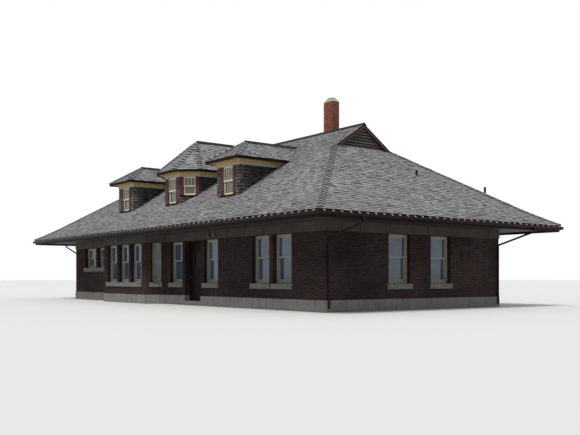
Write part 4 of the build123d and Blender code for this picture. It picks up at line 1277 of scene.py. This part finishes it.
class STATION_OT_roof_edges(bpy.types.Operator):
    """Nail the edge boards under the shingles and fit the ridge rolls"""

    bl_idname = "station.roof_edges"
    bl_label = "Roof edges and ridge rolls"

    def execute(self, context):
        work = Work()
        self.main_edge(work)
        self.verge_strips(work)
        for x, half, cant, _ in all_dormers():
            self.dormer_edge(work, dormer_plan(x, half, cant, DORMER_REACH))
        work.finish("roof_edge_boards", "edge_board_and_shade", "dark_paint")
        rolls = Work()
        end = RAKE_FACE + ROLL_PAST_RAKE
        self.roll(rolls, Vector((-end, 0, RIDGE)), Vector((end, 0, RIDGE)), PITCH)
        for x, half, _, tangent in all_dormers():
            reach = half + DORMER_REACH
            top = DORMER_EAVE + tangent * reach
            back = min(ROLL_BACK, roof_y(top))
            front = DORMER_FRONT + half - ROLL_OVER_HIPS
            self.roll(rolls, Vector((x, front, top)), Vector((x, back, top)), math.atan(tangent))
        rolls.finish("ridge_rolls", "ridge", "vent_metal")
        return {"FINISHED"}

    def main_edge(self, work):
        """A near-black drip board between the gutter's back and the shingles, painted shade for the dark gap
        there.
        """
        for place, half in eaves():
            end = half + DRIP_BOARD
            work.bar((-end, -DRIP_BOARD, GUTTER_TOP - 0.01), (end, 0, EAVE - DRIP_BOARD), place)

    def verge_strips(self, work):
        """Near-black strips along the top of the gablets' rake boards, under the ends of the shingles: a
        painted shadow line.
        """
        foot = (RIDGE - roof_level(GABLET_INSET)) / SLOPE
        for side in (-1, 1):
            for end in (-foot, foot):
                points = []
                for y in (0.0, end):
                    top = RIDGE - SLOPE * abs(y)
                    for drop in STRIP_EDGES:
                        for out in (RAKE_FACE, RAKE_FACE + STRIP_THICKNESS):
                            points.append(Vector((side * out, y, top - drop)))
                work.add(points, BOX_FACES)

    def dormer_edge(self, work, plan):
        """Boards over the edge of a dormer's roof, back to where they meet the main roof."""
        low, high = DORMER_EAVE - EDGE_DROP, DORMER_EAVE + EDGE_RISE
        behind = roof_y(low) + 0.15
        for (start, along, inward), finish in zip(plan_edges(plan), plan[1:]):
            points = []
            for distance in (0.0, (finish - start).length):
                base = start + along * distance
                base.y = min(base.y, behind)
                for offset in (-EDGE_THICKNESS, 0.0):
                    points += [base + inward * offset + UP * level for level in (low, high)]
            work.add(points, [(0, 4, 5, 1), (0, 2, 6, 4), (1, 5, 7, 3)])

    def roll(self, work, start, finish, pitch):
        """A metal ridge: a rounded roll with a flange down each slope."""
        along = (finish - start).normalized()
        sideways = along.cross(UP)
        top = RIDGE_LIFT / math.cos(pitch)
        foot = top - RIDGE_ROLL * math.tan(pitch)

        def flange_point(side, lift):
            across = RIDGE_FLANGE * math.cos(pitch) + lift * math.sin(pitch)
            height = lift * math.cos(pitch) - RIDGE_FLANGE * math.sin(pitch)
            return side * across * sideways + UP * height

        outline = [flange_point(1, RIDGE_SEAT), flange_point(1, RIDGE_LIFT)]
        for index in range(7):
            angle = math.pi * index / 6
            height = foot + RIDGE_ROLL * math.sin(angle)
            outline.append(sideways * RIDGE_ROLL * math.cos(angle) + UP * height)
        outline += [flange_point(-1, RIDGE_LIFT), flange_point(-1, RIDGE_SEAT), UP * RIDGE_SEAT]
        count = len(outline)
        faces = [tuple(range(count)), tuple(range(2 * count - 1, count - 1, -1))]
        for index in range(count):
            after = (index + 1) % count
            faces.append((index, index + count, after + count, after))
        work.add([start + offset for offset in outline] + [finish + offset for offset in outline], faces)


# The moulding's section, each corner's distance out from the wall and down from the soffit
MOULD_SECTION = ((0.0, 0.0), (0.06, 0.0), (0.056, 0.012), (0.03, 0.024), (0.016, 0.044), (0.0, 0.05))


class STATION_OT_dormer_moulds(bpy.types.Operator):
    """Run the bed moulding under the dormer soffits"""

    bl_idname = "station.dormer_moulds"
    bl_label = "Dormer bed moulding"

    def execute(self, context):
        work = Work()
        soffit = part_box("dormer_soffits")[0].z
        for x, half, cant, _ in all_dormers():
            rings = []
            for offset, level in MOULD_SECTION:
                plan = dormer_plan(x, half, cant, offset)
                plan[0].y = plan[-1].y = roof_y(soffit)
                rings.append([corner + UP * (soffit - level) for corner in plan])
            for outer, inner in zip(rings, rings[1:]):
                for index in range(len(outer) - 1):
                    points = [outer[index], outer[index + 1], inner[index + 1], inner[index]]
                    work.add(points, [(0, 3, 2, 1)])
        work.finish("dormer_bed_moulds", "dormer_soffit", "soffit_boards")
        return {"FINISHED"}


# A joint's cover: half its width, how far it stands out and in, and what it leaves at each end
JOINT_HALF = 0.008
JOINT_OUT = 0.003
JOINT_IN = 0.002
JOINT_TRIM = 0.004


class STATION_OT_frieze_joints(bpy.types.Operator):
    """Cover the joints between the boards of the frieze"""

    bl_idname = "station.frieze_joints"
    bl_label = "Frieze joints"

    def execute(self, context):
        work = Work()
        low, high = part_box("frieze_boards")
        half_length, half_width = high.x, high.y
        bottom, top = low.z + JOINT_TRIM, high.z - JOINT_TRIM
        count = round(2 * half_length / LONG_JOINT_SPACING)
        long_joints = [-half_length + index * 2 * half_length / count for index in range(1, count)]
        sides = [(0, half_width, long_joints), (90, half_length, END_JOINTS)]
        sides += [(180, half_width, long_joints), (270, half_length, END_JOINTS)]
        for turn, depth, joints in sides:
            place = side_space(turn, depth)
            for x in joints:
                work.bar((x - JOINT_HALF, -JOINT_OUT, bottom), (x + JOINT_HALF, JOINT_IN, top), place)
        work.finish("frieze_joints", "dark_trim", "frieze_paint")
        return {"FINISHED"}


# The sill's section, each corner's place from the wall's face and the window's bottom
SILL_SECTION = ((-0.075, -0.045), (-0.075, -0.01), (-0.02, 0.006), (-0.02, -0.07))
SILL_HORN = 0.17


class STATION_OT_dormer_sills(bpy.types.Operator):
    """Fit the sloping sills under the dormer windows"""

    bl_idname = "station.dormer_sills"
    bl_label = "Dormer window sills"

    def execute(self, context):
        work = Work()
        for place, opening, bottom in dormer_windows():
            half = opening / 2 + SILL_HORN
            points = []
            for x in (-half, half):
                points += [place @ Vector((x, y, bottom + z)) for y, z in SILL_SECTION]
            faces = [(0, 4, 5, 1), (1, 5, 6, 2), (0, 3, 7, 4), (0, 1, 2, 3), (4, 7, 6, 5)]
            work.add(points, faces)
        work.finish("dormer_sills", "dormer_sill", "maroon_paint")
        return {"FINISHED"}


# A strap's line from the shingles over the gutter's lip: its place from the eave and the gutter's top
STRAP_LINE = ((-0.004, 0.05), (-0.04, 0.03), (-0.0785, 0.012), (-0.0785, -0.014))
STRAP_THICKNESS = 0.004

# The round bead in the gutter's lip
BEAD_SIDES = 8
BEAD_RADIUS = 0.007
BEAD_Y = -0.072


class STATION_OT_gutter_hangers(bpy.types.Operator):
    """Fix the hangers across the gutters"""

    bl_idname = "station.gutter_hangers"
    bl_label = "Gutter hangers"

    def execute(self, context):
        spacing, width = sizes().hanger_spacing, sizes().hanger_width
        straps, beads = Work(), Work()
        for place, half in eaves():
            count = int(2 * half / spacing)
            for index in range(count):
                x = -half + (index + 0.5) * 2 * half / count
                self.strap(straps, place, x, width)
            self.bead(beads, place, half)
        straps.finish("gutter_hangers", "metal", "maroon_metal")
        beads.finish("gutter_beads", "gutter", "maroon_metal")
        return {"FINISHED"}

    def strap(self, work, place, x, width):
        """A bent strap from the shingles down over the gutter's lip."""
        points = []
        for side in (x - width / 2, x + width / 2):
            for y, height in STRAP_LINE:
                z = GUTTER_TOP + height
                points.append(place @ Vector((side, y, z)))
                points.append(place @ Vector((side, y + 0.001, z - STRAP_THICKNESS)))
        faces = []
        for index in range(3):
            first, second = 2 * index, 2 * index + 2
            faces += [(first, second, second + 8, first + 8), (first + 1, first + 9, second + 9, second + 1)]
            faces += [(first, first + 1, second + 1, second), (first + 8, second + 8, second + 9, first + 9)]
        faces += [(6, 7, 15, 14), (0, 8, 9, 1)]
        work.add(points, faces)

    def bead(self, work, place, half):
        """A rolled bead inside the gutter's lip, mitred at its ends."""
        points = []
        for end in (-1, 1):
            for index in range(BEAD_SIDES):
                angle = 2 * math.pi * index / BEAD_SIDES
                y = BEAD_Y + BEAD_RADIUS * math.cos(angle)
                z = GUTTER_TOP + 0.003 + BEAD_RADIUS * math.sin(angle)
                points.append(place @ Vector((end * (half - y), y, z)))
        faces = []
        for index in range(BEAD_SIDES):
            after = (index + 1) % BEAD_SIDES
            faces.append((index, after, after + BEAD_SIDES, index + BEAD_SIDES))
        work.add(points, faces)


# The camera's place, turn from the front in degrees, lens in millimetres and upward shift
CAMERA_PLACE = (29.83, -20.73, 1.14)
CAMERA_TURN = 52.516
CAMERA_LENS = 47.24
CAMERA_SHIFT = 0.1044

# Where the sun stands, its strength, its spread in degrees and its colour
SUN_FROM = (0.3, -0.62, 1.1)
SUN_STRENGTH = 2.1
SUN_SPREAD = 14
SUN_COLOUR = (1.0, 0.97, 0.92)

SKY_COLOUR = (0.93, 0.96, 1.0, 1)
SKY_STRENGTH = 0.52
WHITE = (1, 1, 1, 1)
FLOOR_COLOUR = (0.78, 0.78, 0.77, 1)
FLOOR_HALF = 400
FLOOR_LEVEL = -0.002


class STATION_OT_stage(bpy.types.Operator):
    """Set the floor, the lights and the camera"""

    bl_idname = "station.stage"
    bl_label = "Stage"

    def execute(self, context):
        self.floor()
        self.world(context.scene)
        self.key_light()
        self.camera(context.scene)
        context.scene.view_settings.view_transform = "Standard"
        return {"FINISHED"}

    def floor(self):
        mesh = bpy.data.meshes.new("stage_floor")
        corners = [(x * FLOOR_HALF, y * FLOOR_HALF, 0) for x, y in ((-1, -1), (1, -1), (1, 1), (-1, 1))]
        mesh.from_pydata(corners, [], [(0, 1, 2, 3)])
        finish = Finish("stage_floor", 0.9, specular=0.1)
        finish.shader.inputs["Base Color"].default_value = FLOOR_COLOUR
        mesh.materials.append(finish.material)
        floor = bpy.data.objects.new("stage_floor", mesh)
        floor.location.z = FLOOR_LEVEL
        bpy.context.scene.collection.objects.link(floor)

    def world(self, scene):
        """Even sky light, seen as white by the camera and in reflections."""
        world = bpy.data.worlds.new("studio")
        scene.world = world
        world.use_nodes = True
        tree = world.node_tree
        background = tree.nodes["Background"]
        preset(background.inputs, {"Color": SKY_COLOUR, "Strength": SKY_STRENGTH})
        white = tree.nodes.new("ShaderNodeBackground")
        preset(white.inputs, {"Color": WHITE, "Strength": 1.0})
        path = tree.nodes.new("ShaderNodeLightPath")
        mix = tree.nodes.new("ShaderNodeMixShader")
        seen = path.outputs["Is Camera Ray"]
        for ray in ("Is Glossy Ray", "Is Transmission Ray"):
            either = tree.nodes.new("ShaderNodeMath")
            either.operation = "MAXIMUM"
            tree.links.new(seen, either.inputs[0])
            tree.links.new(path.outputs[ray], either.inputs[1])
            seen = either.outputs[0]
        tree.links.new(seen, mix.inputs["Fac"])
        tree.links.new(background.outputs[0], mix.inputs[1])
        tree.links.new(white.outputs[0], mix.inputs[2])
        tree.links.new(mix.outputs[0], tree.nodes["World Output"].inputs["Surface"])

    def key_light(self):
        lamp = bpy.data.lights.new("key", "SUN")
        lamp.energy = SUN_STRENGTH
        lamp.angle = math.radians(SUN_SPREAD)
        lamp.color = SUN_COLOUR
        key = bpy.data.objects.new("key", lamp)
        key.rotation_euler = Vector(SUN_FROM).to_track_quat("Z", "Y").to_euler()
        bpy.context.scene.collection.objects.link(key)

    def camera(self, scene):
        lens = bpy.data.cameras.new("camera")
        lens.sensor_width = 36
        lens.lens = CAMERA_LENS
        lens.shift_y = CAMERA_SHIFT
        lens.clip_end = 2000
        camera = bpy.data.objects.new("camera", lens)
        camera.location = CAMERA_PLACE
        camera.rotation_euler = (math.radians(90), 0, math.radians(CAMERA_TURN))
        scene.collection.objects.link(camera)
        scene.camera = camera


OPERATORS = (
    STATION_OT_finishes,
    STATION_OT_roof_shingles,
    STATION_OT_roof_caps,
    STATION_OT_dormer_shingles,
    STATION_OT_dormer_siding,
    STATION_OT_gablet_boards,
    STATION_OT_flashings,
    STATION_OT_roof_edges,
    STATION_OT_dormer_moulds,
    STATION_OT_frieze_joints,
    STATION_OT_small_window_bars,
    STATION_OT_dormer_bars,
    STATION_OT_dormer_sills,
    STATION_OT_gutter_hangers,
    STATION_OT_stage,
)


class STATION_PT_panel(bpy.types.Panel):
    """Sizes, colours and pieces of the station"""

    bl_idname = "STATION_PT_panel"
    bl_label = "Railway Station"
    bl_space_type = "VIEW_3D"
    bl_region_type = "UI"
    bl_category = "Station"

    def draw(self, context):
        column = self.layout.column()
        for group in (context.scene.station_sizes, context.scene.station_colours):
            for name in group.__annotations__:
                column.prop(group, name)
        for operator in OPERATORS:
            column.operator(operator.bl_idname)


CLASSES = (StationSizes, StationColours, *OPERATORS, STATION_PT_panel)


def register():
    for item in CLASSES:
        bpy.utils.register_class(item)
    bpy.types.Scene.station_sizes = PointerProperty(type=StationSizes)
    bpy.types.Scene.station_colours = PointerProperty(type=StationColours)


def unregister():
    del bpy.types.Scene.station_colours
    del bpy.types.Scene.station_sizes
    for item in reversed(CLASSES):
        bpy.utils.unregister_class(item)


def main():
    register()
    for operator in OPERATORS:
        group, name = operator.bl_idname.split(".")
        getattr(getattr(bpy.ops, group), name)()


if __name__ == "__main__":
    main()
